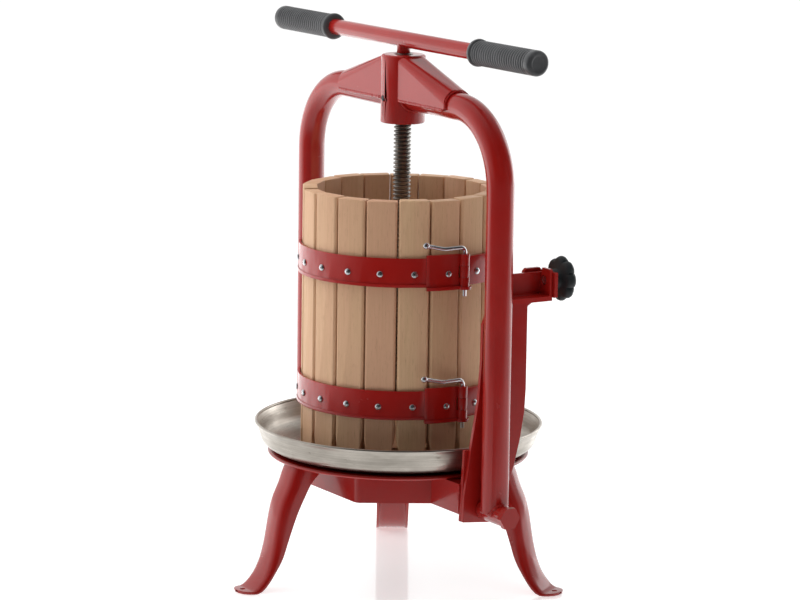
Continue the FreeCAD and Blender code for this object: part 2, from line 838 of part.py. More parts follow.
pivot_barrel("pivot_barrel_right", UPRIGHT)
pivot_barrel("pivot_barrel_left", about_z(180))

housing_bore = S.housing_radius - S.housing_wall
screw_bore = S.screw_radius + S.running_clearance
housing_profile = [
    (housing_bore, S.housing_bottom), (S.housing_radius, S.housing_bottom),
    (S.housing_radius, S.housing_top - 2), (S.housing_radius - 2, S.housing_top),
    (screw_bore + 0.6, S.housing_top), (screw_bore + 0.6, S.housing_top - S.housing_lid),
    (housing_bore, S.housing_top - S.housing_lid),
]
housing = turned_about_z("housing_shell", housing_profile)
oil_hole = cylinder(S.oil_hole_radius, S.housing_wall + 4, y=-S.housing_radius - 2,
                    z=S.arch_top - 5, turn=Y_AXIS)
keep("nut_housing", cut(housing, oil_hole))

nut_low = S.housing_bottom + S.nut_inset
nut_high = S.housing_top - S.housing_lid
nut_outer = housing_bore - S.seat_clearance
keep("spindle_nut", turned_about_z("spindle_nut", [
    (screw_bore, nut_low), (nut_outer, nut_low), (nut_outer, nut_high), (screw_bore, nut_high)]))


def gusset_section(x, inset, skirt):
    # The cover's outline across the tube: two upright sides, rounded shoulders and a flat ridge.
    share = (x - S.gusset_ridge_start.value) / (S.gusset_reach - S.gusset_ridge_start).value
    ridge = (S.arch_top + S.gusset_rise).value
    low_ridge = (S.arch_top + S.arch_tube_radius + S.gusset_sheet).value + 0.2
    top = ridge + (low_ridge - ridge) * share - inset
    half = (S.arch_tube_radius + S.seat_clearance + S.gusset_sheet).value - inset
    round_here = S.gusset_shoulder + (S.gusset_end_shoulder - S.gusset_shoulder) * share
    shoulder = max(round_here.value - inset, 1.0)
    mid = shoulder * (1 - math.sqrt(0.5))
    edges = [line(Vector(x, -half, skirt), Vector(x, -half, top - shoulder)),
             Part.Arc(Vector(x, -half, top - shoulder), Vector(x, mid - half, top - mid),
                      Vector(x, shoulder - half, top)).toShape(),
             line(Vector(x, shoulder - half, top), Vector(x, half - shoulder, top)),
             Part.Arc(Vector(x, half - shoulder, top), Vector(x, half - mid, top - mid),
                      Vector(x, half, top - shoulder)).toShape(),
             line(Vector(x, half, top - shoulder), Vector(x, half, skirt)),
             line(Vector(x, half, skirt), Vector(x, -half, skirt))]
    return Part.Wire(edges)


def gusset_shape():
    # A folded cover over the tube, from the housing to a straight end before the bend.
    skirt = (S.arch_top - S.gusset_skirt).value
    reach = S.gusset_reach.value
    sheet_thick = S.gusset_sheet.value
    outer = Part.makeLoft([gusset_section(10, 0, skirt), gusset_section(reach, 0, skirt)], True, True)
    inner = Part.makeLoft([gusset_section(8, sheet_thick, skirt - 5),
                           gusset_section(reach + 6, sheet_thick, skirt - 5)], True, True)
    around_housing = Part.makeCylinder(S.housing_radius.value, 200, Vector(0, 0, skirt - 50))
    around_tube = Part.makeCylinder(S.arch_tube_radius.value, reach + 40, Vector(0, 0, S.arch_top.value),
                                    Vector(1, 0, 0))
    bend = Part.makeTorus(S.arch_bend_radius.value, S.arch_tube_radius.value,
                          Vector((S.arch_half_width - S.arch_bend_radius).value, 0,
                                 (S.arch_top - S.arch_bend_radius).value), Vector(0, 1, 0))
    return outer.cut(inner).cut(around_housing).cut(around_tube).cut(bend)


keep("gusset_right", shaped("gusset_right", gusset_shape()))
keep("gusset_left", shaped("gusset_left", gusset_shape(), about_z(180)))

# Bracket welded to the right tube: a web, a shelf and an end plate that the clamp pulls on
bracket_face = flange_face - S.clamp_gap
bracket_start = bar_outer_face + S.bracket_gap
bracket_end = bracket_face - S.bracket_sheet
shelf_level = S.stud_height - S.shelf_drop
bracket_height = catch_top - shelf_level
shelf_width = S.bracket_sheet + S.shelf_reach
web_top = catch_top - S.bracket_sheet
web = box(S.bracket_sheet, bracket_face, web_top - shelf_level, x=bracket_start, z=shelf_level)
shelf = box(shelf_width, bracket_face, S.shelf_thickness, x=bracket_start, z=shelf_level)
end_wall = new_body("bracket_end_wall")
wall_outline = sketch_on(end_wall, "XZ_Plane")
draw_outline(wall_outline, [
    (bracket_start, shelf_level), (bracket_start + shelf_width, shelf_level),
    (bracket_start + shelf_width, catch_top), (bracket_start + shelf_width - 2, catch_top + 2),
    (bracket_start + S.corner_cut, catch_top + 2), (bracket_start, shelf_level + S.shelf_thickness)])
pad(end_wall, wall_outline, S.bracket_sheet, True)
seat(end_wall, y=bracket_end + S.bracket_sheet / 2)
around_tube = cylinder(S.arch_tube_radius, bracket_height * 2, x=S.arch_half_width,
                       z=shelf_level - bracket_height / 2)
stud_bore = cylinder(S.stud_radius + S.stud_clearance, S.bracket_sheet * 2, x=S.stud_place,
                     y=bracket_end - S.bracket_sheet / 2, z=S.stud_height, turn=Y_AXIS)
keep("latch_bracket", cut(fuse(web, shelf, end_wall), around_tube, stud_bore))


# Clamping knob, its stud and its washer

washer_start = S.catch_reach
knob_start = washer_start + S.washer_thickness + S.clamp_gap
stud_start = bracket_face - S.bracket_sheet
washer = cut(cylinder(S.washer_radius, S.washer_thickness, x=S.stud_place, y=washer_start,
                      z=S.stud_height, turn=Y_AXIS),
             cylinder(S.stud_radius + S.running_clearance, S.washer_thickness + 2, x=S.stud_place,
                      y=washer_start - 1, z=S.stud_height, turn=Y_AXIS))
keep("knob_washer", washer)
keep("knob_stud", cylinder(S.stud_radius, S.stud_length, x=S.stud_place, y=stud_start,
                           z=S.stud_height, turn=Y_AXIS))


def knob():
    # A lobed head on a round neck, with a blind hole for the stud.
    lobes = int(S.knob_lobes.value)
    lobe_radius = S.knob_radius * 0.24
    lobe_place = S.knob_radius - lobe_radius
    face = knob_start + S.knob_neck_length
    parts = [cylinder(S.knob_neck_radius, S.knob_neck_length + 1, x=S.stud_place, y=knob_start,
                      z=S.stud_height, turn=Y_AXIS),
             cylinder(S.knob_radius * 0.86, S.knob_thickness, x=S.stud_place, y=face,
                      z=S.stud_height, turn=Y_AXIS)]
    for k in range(lobes):
        radians = 2 * math.pi * k / lobes
        parts.append(cylinder(lobe_radius, S.knob_thickness,
                              x=S.stud_place + lobe_place * math.cos(radians), y=face,
                              z=S.stud_height + lobe_place * math.sin(radians), turn=Y_AXIS))
    bore = cylinder(S.stud_radius, S.stud_length, x=S.stud_place, y=stud_start, z=S.stud_height,
                    turn=Y_AXIS)
    return keep("knob", cut(fuse(*parts), bore))


knob()


# Screw, handle and swivelling foot

screw_top = S.housing_top + S.neck_gap
handle_height = screw_top + S.neck_length
screw_profile = [
    (0, S.screw_bottom), (S.screw_radius - S.screw_chamfer, S.screw_bottom),
    (S.screw_radius, S.screw_bottom + S.screw_chamfer), (S.screw_radius, screw_top), (0, screw_top),
]
keep("spindle", turned_about_z("spindle", screw_profile))

bar_outer = cylinder(S.handle_radius, 2 * S.handle_half_length, x=-S.handle_half_length,
                     z=handle_height, turn=X_AXIS)
neck = cylinder(S.neck_radius, S.neck_length, z=screw_top)
bar_inner = cylinder(S.handle_radius - S.handle_wall, 2 * S.handle_half_length + 2,
                     x=-S.handle_half_length - 1, z=handle_height, turn=X_AXIS)
keep("handle_bar", cut(fuse(bar_outer, neck), bar_inner))


def grip(node, turn):
    # A rubber sleeve with a collar at its inner end and a closed outer end.
    end = S.handle_half_length + S.grip_cap
    start = end - S.grip_length
    bore = S.handle_radius + S.seat_clearance / 2
    profile = [(start, bore), (start, S.grip_collar_radius), (start + S.grip_collar_length, S.grip_collar_radius),
               (start + S.grip_collar_length, S.grip_radius), (end - S.grip_chamfer, S.grip_radius),
               (end, S.grip_radius - S.grip_chamfer), (end, 0), (S.handle_half_length, 0),
               (S.handle_half_length, bore)]
    body = turned_about_x(node, profile)
    return keep(node, seat(body, z=handle_height, turn=turn))


grip("grip_right", UPRIGHT)
grip("grip_left", about_z(180))

foot_low = S.screw_bottom - (S.foot_height - S.foot_socket)
foot_high = S.screw_bottom + S.foot_socket
foot_bore = S.screw_radius + S.running_clearance
socket_floor = S.screw_bottom - S.seat_clearance * 4
keep("press_foot", turned_about_z("press_foot", [
    (0, foot_low), (S.foot_radius - 2, foot_low), (S.foot_radius, foot_low + 2),
    (S.foot_radius, foot_high - 2), (S.foot_radius - 2, foot_high), (foot_bore, foot_high),
    (foot_bore, socket_floor), (0, socket_floor)]))


# Checks, and one file for each sub-part

doc.recompute()
for thing in doc.Objects:
    if "Invalid" in thing.State or "Error" in thing.State:
        raise RuntimeError(f"{thing.Name} ({thing.Label}) failed: {thing.State}")
for node, thing in nodes.items():
    if thing.Shape.isNull() or not thing.Shape.isValid() or not thing.Shape.Solids:
        raise RuntimeError(f"{node} has no valid solid")

os.makedirs("parts", exist_ok=True)
for node, thing in nodes.items():
    thing.Shape.exportStep(f"parts/{node}.step")
    print(node, len(thing.Shape.Solids), round(thing.Shape.Volume))
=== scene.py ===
import json
import math
import bmesh
import bpy
from mathutils import Matrix, Vector, noise


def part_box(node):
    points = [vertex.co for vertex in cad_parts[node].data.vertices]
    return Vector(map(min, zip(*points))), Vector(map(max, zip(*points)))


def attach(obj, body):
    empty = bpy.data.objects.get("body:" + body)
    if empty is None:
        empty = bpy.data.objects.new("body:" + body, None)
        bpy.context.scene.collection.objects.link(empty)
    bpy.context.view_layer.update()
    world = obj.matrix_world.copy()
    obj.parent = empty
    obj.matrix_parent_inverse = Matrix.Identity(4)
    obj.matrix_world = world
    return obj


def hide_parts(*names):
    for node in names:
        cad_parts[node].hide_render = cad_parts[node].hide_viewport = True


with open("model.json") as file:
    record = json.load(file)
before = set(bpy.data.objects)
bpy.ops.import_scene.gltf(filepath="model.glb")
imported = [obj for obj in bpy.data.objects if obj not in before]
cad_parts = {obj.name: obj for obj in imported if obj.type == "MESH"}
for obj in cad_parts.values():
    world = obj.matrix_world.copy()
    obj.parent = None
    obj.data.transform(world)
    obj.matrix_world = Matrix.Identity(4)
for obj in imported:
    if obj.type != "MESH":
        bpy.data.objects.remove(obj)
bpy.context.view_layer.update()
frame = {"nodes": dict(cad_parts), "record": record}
scene = bpy.context.scene
nodes = frame["nodes"]
print("frame loaded:", len(nodes), "nodes")

yAxis = Vector((0, 1, 0))
zAxis = Vector((0, 0, 1))

# What the wood's finish, the staves and the screw heads share: angles are in degrees
basket = {"staves": 19, "backStaves": 9, "splitAngle": 4.3}


# Camera, at the angle the press was photographed from

view = {
    "place": (3.60275, -2.23645, 1.12591),
    "forward": (-0.83580, 0.51880, -0.17967),
    "roll": 0.826,  # degrees
    "lens": 153.5,
    "sensor": 36,
    "reach": 30,
}


def setCamera():
    data = bpy.data.cameras.new("camera")
    data.lens = view["lens"]
    data.sensor_width = view["sensor"]
    data.clip_end = view["reach"]
    camera = bpy.data.objects.new("camera", data)
    scene.collection.objects.link(camera)
    facing = Vector(view["forward"]).to_track_quat("-Z", "Y").to_matrix().to_4x4()
    camera.matrix_world = (Matrix.Translation(view["place"]) @ facing
                           @ Matrix.Rotation(math.radians(view["roll"]), 4, "Z"))
    scene.camera = camera


setCamera()


# Shader helpers

def newNode(tree, kind, **settings):
    made = tree.nodes.new(kind)
    for name, value in settings.items():
        setattr(made, name, value)
    return made


def wire(tree, sockets, values):
    # Links each socket to its value, or sets it when the value is plain.
    for socket, value in zip(sockets, values):
        if isinstance(value, bpy.types.NodeSocket):
            tree.links.new(value, socket)
        else:
            socket.default_value = value


def feed(tree, target, **values):
    # Wires each named input; an underscore stands for a space.
    wire(tree, [target.inputs[name.replace("_", " ")] for name in values], values.values())


def newGroup(name, inputs, outputs):
    tree = bpy.data.node_groups.new(name, "ShaderNodeTree")
    for label, kind, value in inputs:
        socket = tree.interface.new_socket(label, in_out="INPUT", socket_type=kind)
        if value is not None:
            socket.default_value = value
    for label, kind in outputs:
        tree.interface.new_socket(label, in_out="OUTPUT", socket_type=kind)
    return tree, tree.nodes.new("NodeGroupInput"), tree.nodes.new("NodeGroupOutput")


def calc(tree, operation, first, second=0.0):
    made = newNode(tree, "ShaderNodeMath", operation=operation)
    wire(tree, made.inputs, (first, second))
    return made.outputs[0]


def remap(tree, value, low, high, newLow=0.0, newHigh=1.0):
    made = newNode(tree, "ShaderNodeMapRange")
    feed(tree, made, Value=value, From_Min=low, From_Max=high, To_Min=newLow, To_Max=newHigh)
    return made.outputs["Result"]


def mixColour(tree, factor, first, second):
    made = newNode(tree, "ShaderNodeMix", data_type="RGBA")
    wire(tree, (made.inputs[0], made.inputs[6], made.inputs[7]), (factor, first, second))
    return made.outputs[2]


def cloud(tree, point, scale, detail=3.0, roughness=0.5):
    made = newNode(tree, "ShaderNodeTexNoise")
    feed(tree, made, Vector=point, Scale=scale, Detail=detail, Roughness=roughness)
    return made.outputs["Fac"]


def stretched(tree, point, scale):
    made = newNode(tree, "ShaderNodeMapping")
    feed(tree, made, Vector=point, Scale=scale)
    return made.outputs["Vector"]


def partsOf(tree, vector):
    made = newNode(tree, "ShaderNodeSeparateXYZ")
    wire(tree, made.inputs, (vector,))
    return made.outputs


def combined(tree, x, y, z):
    made = newNode(tree, "ShaderNodeCombineXYZ")
    wire(tree, made.inputs, (x, y, z))
    return made.outputs[0]


def towards(tree, vector, way):
    # How far a vector goes along a fixed one.
    made = newNode(tree, "ShaderNodeVectorMath", operation="DOT_PRODUCT")
    wire(tree, made.inputs, (vector, way))
    return made.outputs["Value"]


def pickByRay(tree, ray, usual, special, target):
    # One shader for one kind of ray and another for all the rest.
    pick = newNode(tree, "ShaderNodeMixShader")
    seen = newNode(tree, "ShaderNodeLightPath").outputs[ray]
    wire(tree, pick.inputs, (seen, usual.outputs[0], special.outputs[0]))
    feed(tree, target, Surface=pick.outputs[0])


# Node groups that more than one finish uses

def makeSpeckGroup():
    # Fine and broad unevenness of a surface: the broad part alone for tints, and a height of both.
    tree, start, end = newGroup(
        "unevenness",
        [("Point", "NodeSocketVector", None), ("Fine scale", "NodeSocketFloat", 600.0),
         ("Broad scale", "NodeSocketFloat", 14.0), ("Fine share", "NodeSocketFloat", 0.4)],
        [("Broad", "NodeSocketFloat"), ("Height", "NodeSocketFloat")])
    fine = newNode(tree, "ShaderNodeTexNoise")
    broad = newNode(tree, "ShaderNodeTexNoise")
    feed(tree, fine, Vector=start.outputs["Point"], Scale=start.outputs["Fine scale"], Detail=2.0)
    feed(tree, broad, Vector=start.outputs["Point"], Scale=start.outputs["Broad scale"], Detail=4.0)
    fineShare = calc(tree, "MULTIPLY", fine.outputs["Fac"], start.outputs["Fine share"])
    height = calc(tree, "ADD", fineShare, broad.outputs["Fac"])
    feed(tree, end, Broad=broad.outputs["Fac"], Height=height)
    return tree


def makeWearAndShadeGroup():
    # Where edges are rubbed, and the hollows, from how the surface bends; the finishes darken the hollows as
    # painted shade.
    tree, start, end = newGroup(
        "edge rubbing and hollow shade",
        [("Point", "NodeSocketVector", None), ("Low", "NodeSocketFloat", 0.53),
         ("High", "NodeSocketFloat", 0.6), ("Scale", "NodeSocketFloat", 90.0)],
        [("Edge", "NodeSocketFloat"), ("Hollow", "NodeSocketFloat")])
    bend = newNode(tree, "ShaderNodeNewGeometry")
    patches = newNode(tree, "ShaderNodeTexNoise")
    feed(tree, patches, Vector=start.outputs["Point"], Scale=start.outputs["Scale"], Detail=4.0)
    edge = newNode(tree, "ShaderNodeMapRange")
    feed(tree, edge, Value=bend.outputs["Pointiness"], From_Min=start.outputs["Low"],
         From_Max=start.outputs["High"])
    patchy = remap(tree, patches.outputs["Fac"], 0.45, 0.62)
    feed(tree, end, Edge=calc(tree, "MULTIPLY", edge.outputs["Result"], patchy),
         Hollow=remap(tree, bend.outputs["Pointiness"], 0.5, 0.42))
    return tree


unevenness = makeSpeckGroup()
edgeWearAndShadeGroup = makeWearAndShadeGroup()


def startMaterial(name):
    material = bpy.data.materials.new(name)
    material.use_nodes = True
    tree = material.node_tree
    shader = tree.nodes["Principled BSDF"]
    point = newNode(tree, "ShaderNodeTexCoord").outputs["Object"]
    return material, tree, shader, point


def placeGroup(tree, group, point, **values):
    made = newNode(tree, "ShaderNodeGroup", node_tree=group)
    feed(tree, made, Point=point, **values)
    return made


def bumped(tree, shader, height, strength, distance):
    bump = newNode(tree, "ShaderNodeBump")
    feed(tree, bump, Height=height, Strength=strength, Distance=distance)
    feed(tree, shader, Normal=bump.outputs["Normal"])


# Finishes

paint = {
    "colour": (0.35, 0.0105, 0.0075, 1), "deep": (0.24, 0.006, 0.005, 1), "primer": (0.14, 0.05, 0.045, 1),
    "roughness": 0.17, "smear": 0.12, "coat": 0.25, "coatRoughness": 0.06, "peelScale": 320.0,
    "peelHeight": 0.00022, "peelStrength": 0.2,
}


def makeRedPaint():
    material, tree, shader, point = startMaterial("redPaint")
    skin = placeGroup(tree, unevenness, point, Fine_scale=paint["peelScale"], Broad_scale=18.0,
                      Fine_share=0.2)
    wearAndShade = placeGroup(tree, edgeWearAndShadeGroup, point, Low=0.57, High=0.68, Scale=120.0)
    tone = remap(tree, skin.outputs["Broad"], 0.3, 0.7)
    base = mixColour(tree, calc(tree, "MULTIPLY", tone, 0.35), paint["colour"], paint["deep"])
    shaded = mixColour(tree, calc(tree, "MULTIPLY", wearAndShade.outputs["Hollow"], 0.45), base, paint["deep"])
    rubbed = mixColour(tree, calc(tree, "MULTIPLY", wearAndShade.outputs["Edge"], 0.3), shaded, paint["primer"])
    smear = remap(tree, cloud(tree, point, 35.0, 5.0, 0.6), 0.35, 0.75, 0.0, paint["smear"])
    feed(tree, shader, Base_Color=rubbed, Roughness=calc(tree, "ADD", smear, paint["roughness"]),
         Coat_Weight=paint["coat"], Coat_Roughness=paint["coatRoughness"])
    bumped(tree, shader, skin.outputs["Height"], paint["peelStrength"], paint["peelHeight"])
    return material


wood = {
    "light": (0.74, 0.52, 0.305, 1), "pink": (0.61, 0.345, 0.22, 1), "brown": (0.47, 0.275, 0.15, 1),
    "pore": (0.33, 0.19, 0.105, 1), "roughness": 0.56, "shine": 0.35, "grainHeight": 0.0002,
    "grainStrength": 0.3,
}


def makeBeech():
    # Each stave has its own tone, from its place round the axis; fine pores run up it.
    material, tree, shader, point = startMaterial("beech")
    parts = partsOf(tree, point)
    turn = calc(tree, "ARCTAN2", parts["Y"], parts["X"])
    pitch = 2 * math.pi / basket["staves"]
    share = calc(tree, "DIVIDE", calc(tree, "SUBTRACT", turn, math.radians(basket["splitAngle"])), pitch)
    number = calc(tree, "FLOOR", calc(tree, "ADD", share, 40.0))
    draw = newNode(tree, "ShaderNodeTexWhiteNoise", noise_dimensions="1D")
    feed(tree, draw, W=number)
    drawParts = newNode(tree, "ShaderNodeSeparateColor")
    feed(tree, drawParts, Color=draw.outputs["Color"])
    lift = combined(tree, 0.0, 0.0, calc(tree, "MULTIPLY", draw.outputs["Value"], 7.0))
    moved = newNode(tree, "ShaderNodeVectorMath", operation="ADD")
    wire(tree, moved.inputs, (point, lift))
    place = moved.outputs[0]
    broad = cloud(tree, stretched(tree, place, (9.0, 9.0, 1.1)), 5.0, 3.0, 0.55)
    grain = cloud(tree, stretched(tree, place, (60.0, 60.0, 2.2)), 8.0, 4.0, 0.6)
    pores = cloud(tree, stretched(tree, place, (150.0, 150.0, 9.0)), 9.0, 2.0, 0.5)
    toPink = mixColour(tree, drawParts.outputs["Red"], wood["light"], wood["pink"])
    toBrown = mixColour(tree, calc(tree, "MULTIPLY", drawParts.outputs["Green"], 0.75), toPink, wood["brown"])
    waved = mixColour(tree, remap(tree, broad, 0.35, 0.7, 0.0, 0.5), toBrown, wood["pink"])
    lined = mixColour(tree, remap(tree, grain, 0.45, 0.75, 0.0, 0.35), waved, wood["brown"])
    pored = mixColour(tree, remap(tree, pores, 0.62, 0.72, 0.0, 0.5), lined, wood["pore"])
    wearAndShade = placeGroup(tree, edgeWearAndShadeGroup, point, Low=0.53, High=0.6, Scale=60.0)
    # Painted shade: the hollows are darkened towards the pore colour.
    hollowShadedWood = mixColour(tree, calc(tree, "MULTIPLY", wearAndShade.outputs["Hollow"], 0.6), pored, wood["pore"])
    feed(tree, shader, Base_Color=hollowShadedWood, Specular_IOR_Level=wood["shine"],
         Roughness=remap(tree, grain, 0.3, 0.8, wood["roughness"] - 0.06, wood["roughness"] + 0.14))
    height = calc(tree, "SUBTRACT", calc(tree, "MULTIPLY", grain, 0.6), remap(tree, pores, 0.6, 0.75))
    bumped(tree, shader, height, wood["grainStrength"], wood["grainHeight"])
    return material


traySteel = {
    "colour": (0.64, 0.59, 0.525, 1), "dull": (0.30, 0.27, 0.23, 1), "stain": (0.22, 0.185, 0.15, 1),
    "paintedShade": (0.03, 0.026, 0.024, 1), "paintedShadeTop": 0.166, "paintedShadeBottom": 0.1642, "roughness": 0.24,
    "ringScale": 900.0, "lineHeight": 0.0002, "lineStrength": 0.3,
}


def makeTraySteel():
    # Spun sheet: fine turned lines round the axis, cloudy polish, a few drying marks, and painted shade on
    # the downward faces low on the dish, just above the disc.
    material, tree, shader, point = startMaterial("traySteel")
    parts = partsOf(tree, point)
    across = calc(tree, "MULTIPLY", parts["X"], parts["X"])
    along = calc(tree, "MULTIPLY", parts["Y"], parts["Y"])
    radius = calc(tree, "SQRT", calc(tree, "ADD", across, along))
    turn = calc(tree, "ARCTAN2", parts["Y"], parts["X"])
    ring = combined(tree, calc(tree, "MULTIPLY", radius, traySteel["ringScale"]),
                    calc(tree, "MULTIPLY", turn, 1.6),
                    calc(tree, "MULTIPLY", parts["Z"], traySteel["ringScale"]))
    lines = cloud(tree, ring, 1.0, 3.0, 0.6)
    haze = cloud(tree, stretched(tree, point, (1, 1, 3)), 16.0, 4.0, 0.6)
    marks = cloud(tree, stretched(tree, point, (1, 1, 2.6)), 46.0, 6.0, 0.72)
    scratches = cloud(tree, stretched(tree, point, (0.35, 0.35, 5.0)), 90.0, 3.0, 0.7)
    brushed = mixColour(tree, remap(tree, lines, 0.35, 0.7, 0.0, 0.45), traySteel["colour"],
                        traySteel["dull"])
    cloudy = mixColour(tree, remap(tree, haze, 0.4, 0.72, 0.0, 0.55), brushed, traySteel["dull"])
    spotted = mixColour(tree, remap(tree, marks, 0.61, 0.72, 0.0, 0.7), cloudy, traySteel["stain"])
    scratched = mixColour(tree, remap(tree, scratches, 0.64, 0.72, 0.0, 0.5), spotted, traySteel["stain"])
    facing = partsOf(tree, newNode(tree, "ShaderNodeTexCoord").outputs["Normal"])
    # Painted shade: downward faces between the two heights are darkened, a dark line above the disc.
    under = remap(tree, facing["Z"], -0.12, -0.3)
    low = remap(tree, parts["Z"], traySteel["paintedShadeTop"], traySteel["paintedShadeBottom"])
    shadedUnderneath = mixColour(tree, calc(tree, "MULTIPLY", under, low), scratched, traySteel["paintedShade"])
    rough = calc(tree, "ADD", remap(tree, haze, 0.3, 0.7, 0.0, 0.16),
                 remap(tree, lines, 0.3, 0.7, traySteel["roughness"] - 0.05, traySteel["roughness"] + 0.1))
    feed(tree, shader, Base_Color=shadedUnderneath, Roughness=rough, Metallic=1.0)
    bumped(tree, shader, lines, traySteel["lineStrength"], traySteel["lineHeight"])
    return material


bareSteel = (0.7, 0.7, 0.68, 1)


def makeMetal(name, colour, dark, roughness, grainScale, spread, relief):
    material, tree, shader, point = startMaterial(name)
    skin = placeGroup(tree, unevenness, point, Fine_scale=grainScale, Broad_scale=70.0, Fine_share=0.6)
    wearAndShade = placeGroup(tree, edgeWearAndShadeGroup, point, Low=0.52, High=0.6, Scale=220.0)
    tone = remap(tree, skin.outputs["Broad"], 0.35, 0.68, 0.0, spread)
    mixed = mixColour(tree, tone, colour, dark)
    # Painted shade: the hollows are darkened towards the dark colour.
    hollowShadedMetal = mixColour(tree, calc(tree, "MULTIPLY", wearAndShade.outputs["Hollow"], 0.75), mixed, dark)
    bright = mixColour(tree, calc(tree, "MULTIPLY", wearAndShade.outputs["Edge"], 0.5), hollowShadedMetal, bareSteel)
    feed(tree, shader, Base_Color=bright, Metallic=1.0,
         Roughness=remap(tree, skin.outputs["Height"], 0.4, 1.0, roughness - 0.06, roughness + 0.12))
    bumped(tree, shader, skin.outputs["Height"], 0.25, relief)
    return material


def makeBlack(name, colour, dusty, roughness, grainScale, height):
    material, tree, shader, point = startMaterial(name)
    skin = placeGroup(tree, unevenness, point, Fine_scale=grainScale, Broad_scale=45.0, Fine_share=0.8)
    wearAndShade = placeGroup(tree, edgeWearAndShadeGroup, point, Low=0.52, High=0.62, Scale=150.0)
    tone = mixColour(tree, remap(tree, skin.outputs["Broad"], 0.35, 0.7, 0.0, 0.5), colour, dusty)
    worn = mixColour(tree, calc(tree, "MULTIPLY", wearAndShade.outputs["Edge"], 0.5), tone, dusty)
    feed(tree, shader, Base_Color=worn,
         Roughness=remap(tree, skin.outputs["Height"], 0.4, 1.2, roughness - 0.05, roughness + 0.12))
    bumped(tree, shader, skin.outputs["Height"], 0.5, height)
    return material


finishes = {
    "red_paint": makeRedPaint(),
    "beech": makeBeech(),
    "tray_steel": makeTraySteel(),
    "dark_steel": makeMetal("darkSteel", (0.37, 0.355, 0.33, 1), (0.11, 0.10, 0.09, 1), 0.34, 900.0, 0.6,
                            0.0002),
    "zinc_steel": makeMetal("zincSteel", (0.78, 0.80, 0.83, 1), (0.5, 0.505, 0.52, 1), 0.17, 500.0, 0.15,
                            0.00003),
    "nut_bronze": makeMetal("nutBronze", (0.56, 0.39, 0.2, 1), (0.28, 0.18, 0.09, 1), 0.35, 800.0, 0.5,
                            0.0002),
    "black_rubber": makeBlack("blackRubber", (0.052, 0.053, 0.056, 1), (0.12, 0.122, 0.127, 1), 0.31,
                              1800.0, 0.00012),
    "black_plastic": makeBlack("blackPlastic", (0.013, 0.017, 0.019, 1), (0.035, 0.042, 0.046, 1), 0.5,
                               2600.0, 0.00008),
}
print("finishes made:", len(finishes))


# Every solid gets its finish and softened edges

slotOf = {row["node"]: row["material_slot"] for row in frame["record"]["subparts"]}
softEdge = {"red_paint": 0.0008, "beech": 0.0005, "tray_steel": 0.0003, "dark_steel": 0.0004,
            "zinc_steel": 0.0003, "nut_bronze": 0.0004, "black_rubber": 0.0006, "black_plastic": 0.0008}
widerEdge = {"pivot_barrel_right": 0.0016, "pivot_barrel_left": 0.0016, "nut_housing": 0.0014}
softening = {"merge": 0.00002, "segments": 3, "sharpest": 38}


def soften(piece, width):
    weld = piece.modifiers.new("weld", "WELD")
    weld.merge_threshold = softening["merge"]
    bevel = piece.modifiers.new("bevel", "BEVEL")
    bevel.width = width
    bevel.segments = softening["segments"]
    bevel.limit_method = "ANGLE"
    bevel.angle_limit = math.radians(softening["sharpest"])
    bevel.use_clamp_overlap = True
    bevel.harden_normals = True
    bevel.miter_outer = "MITER_ARC"


def dressSolids():
    for name, piece in nodes.items():
        slot = slotOf[name]
        piece.data.materials.clear()
        piece.data.materials.append(finishes[slot])
        soften(piece, widerEdge.get(name, softEdge[slot]))


dressSolids()
print("solids dressed")


# Modelling helpers

def place(x, y, z, turn=0.0):
    return Matrix.Rotation(math.radians(turn), 4, "Z") @ Matrix.Translation((x, y, z))


def chained(bm, spots):
    # A chain of points and the edges between them.
    chain = [bm.verts.new(spot) for spot in spots]
    return chain, [bm.edges.new(pair) for pair in zip(chain, chain[1:])]


def newOf(made, kind):
    # The vertices or the edges that an operator has just made.
    return [item for item in made if isinstance(item, kind)]


def turned(profile, steps, rise=0.0, doublings=0):
    # Spins (out, up) points round Z; with a rise it makes a thread, whose length is doubled each time.
    bm = bmesh.new()
    chain, edges = chained(bm, [(out, 0, up) for out, up in profile])
    bmesh.ops.spin(bm, geom=chain + edges, cent=(0, 0, 0), axis=(0, 0, 1), dvec=(0, 0, rise / steps),
                   angle=2 * math.pi, steps=steps, use_merge=rise == 0.0)
    for k in range(doublings):
        copy = bmesh.ops.duplicate(bm, geom=bm.verts[:] + bm.edges[:] + bm.faces[:])["geom"]
        bmesh.ops.translate(bm, verts=newOf(copy, bmesh.types.BMVert), vec=(0, 0, rise * 2 ** k))
    bmesh.ops.remove_doubles(bm, verts=bm.verts, dist=0.000004)
    bmesh.ops.recalc_face_normals(bm, faces=bm.faces)
    return bm


def copied(node):
    # The solid's own mesh, merged and with its flat faces whole again.
    bm = bmesh.new()
    bm.from_mesh(nodes[node].data)
    bmesh.ops.remove_doubles(bm, verts=bm.verts, dist=0.000005)
    bmesh.ops.dissolve_limit(bm, angle_limit=math.radians(0.6), verts=bm.verts, edges=bm.edges)
    return bm


def rounded(bm, edges, width, segments):
    bmesh.ops.bevel(bm, geom=edges, offset=width, segments=segments, profile=0.5, affect="EDGES",
                    material=-1, clamp_overlap=True)


def facesOutwards(bm, way):
    # Turns an open sheet's faces over when most of their area looks the other way.
    if sum(face.normal.dot(way) * face.calc_area() for face in bm.faces) < 0:
        bmesh.ops.reverse_faces(bm, faces=bm.faces)


def sharpEdges(bm, degrees):
    limit = math.radians(degrees)
    return [edge for edge in bm.edges if len(edge.link_faces) == 2 and edge.calc_face_angle(0.0) > limit]


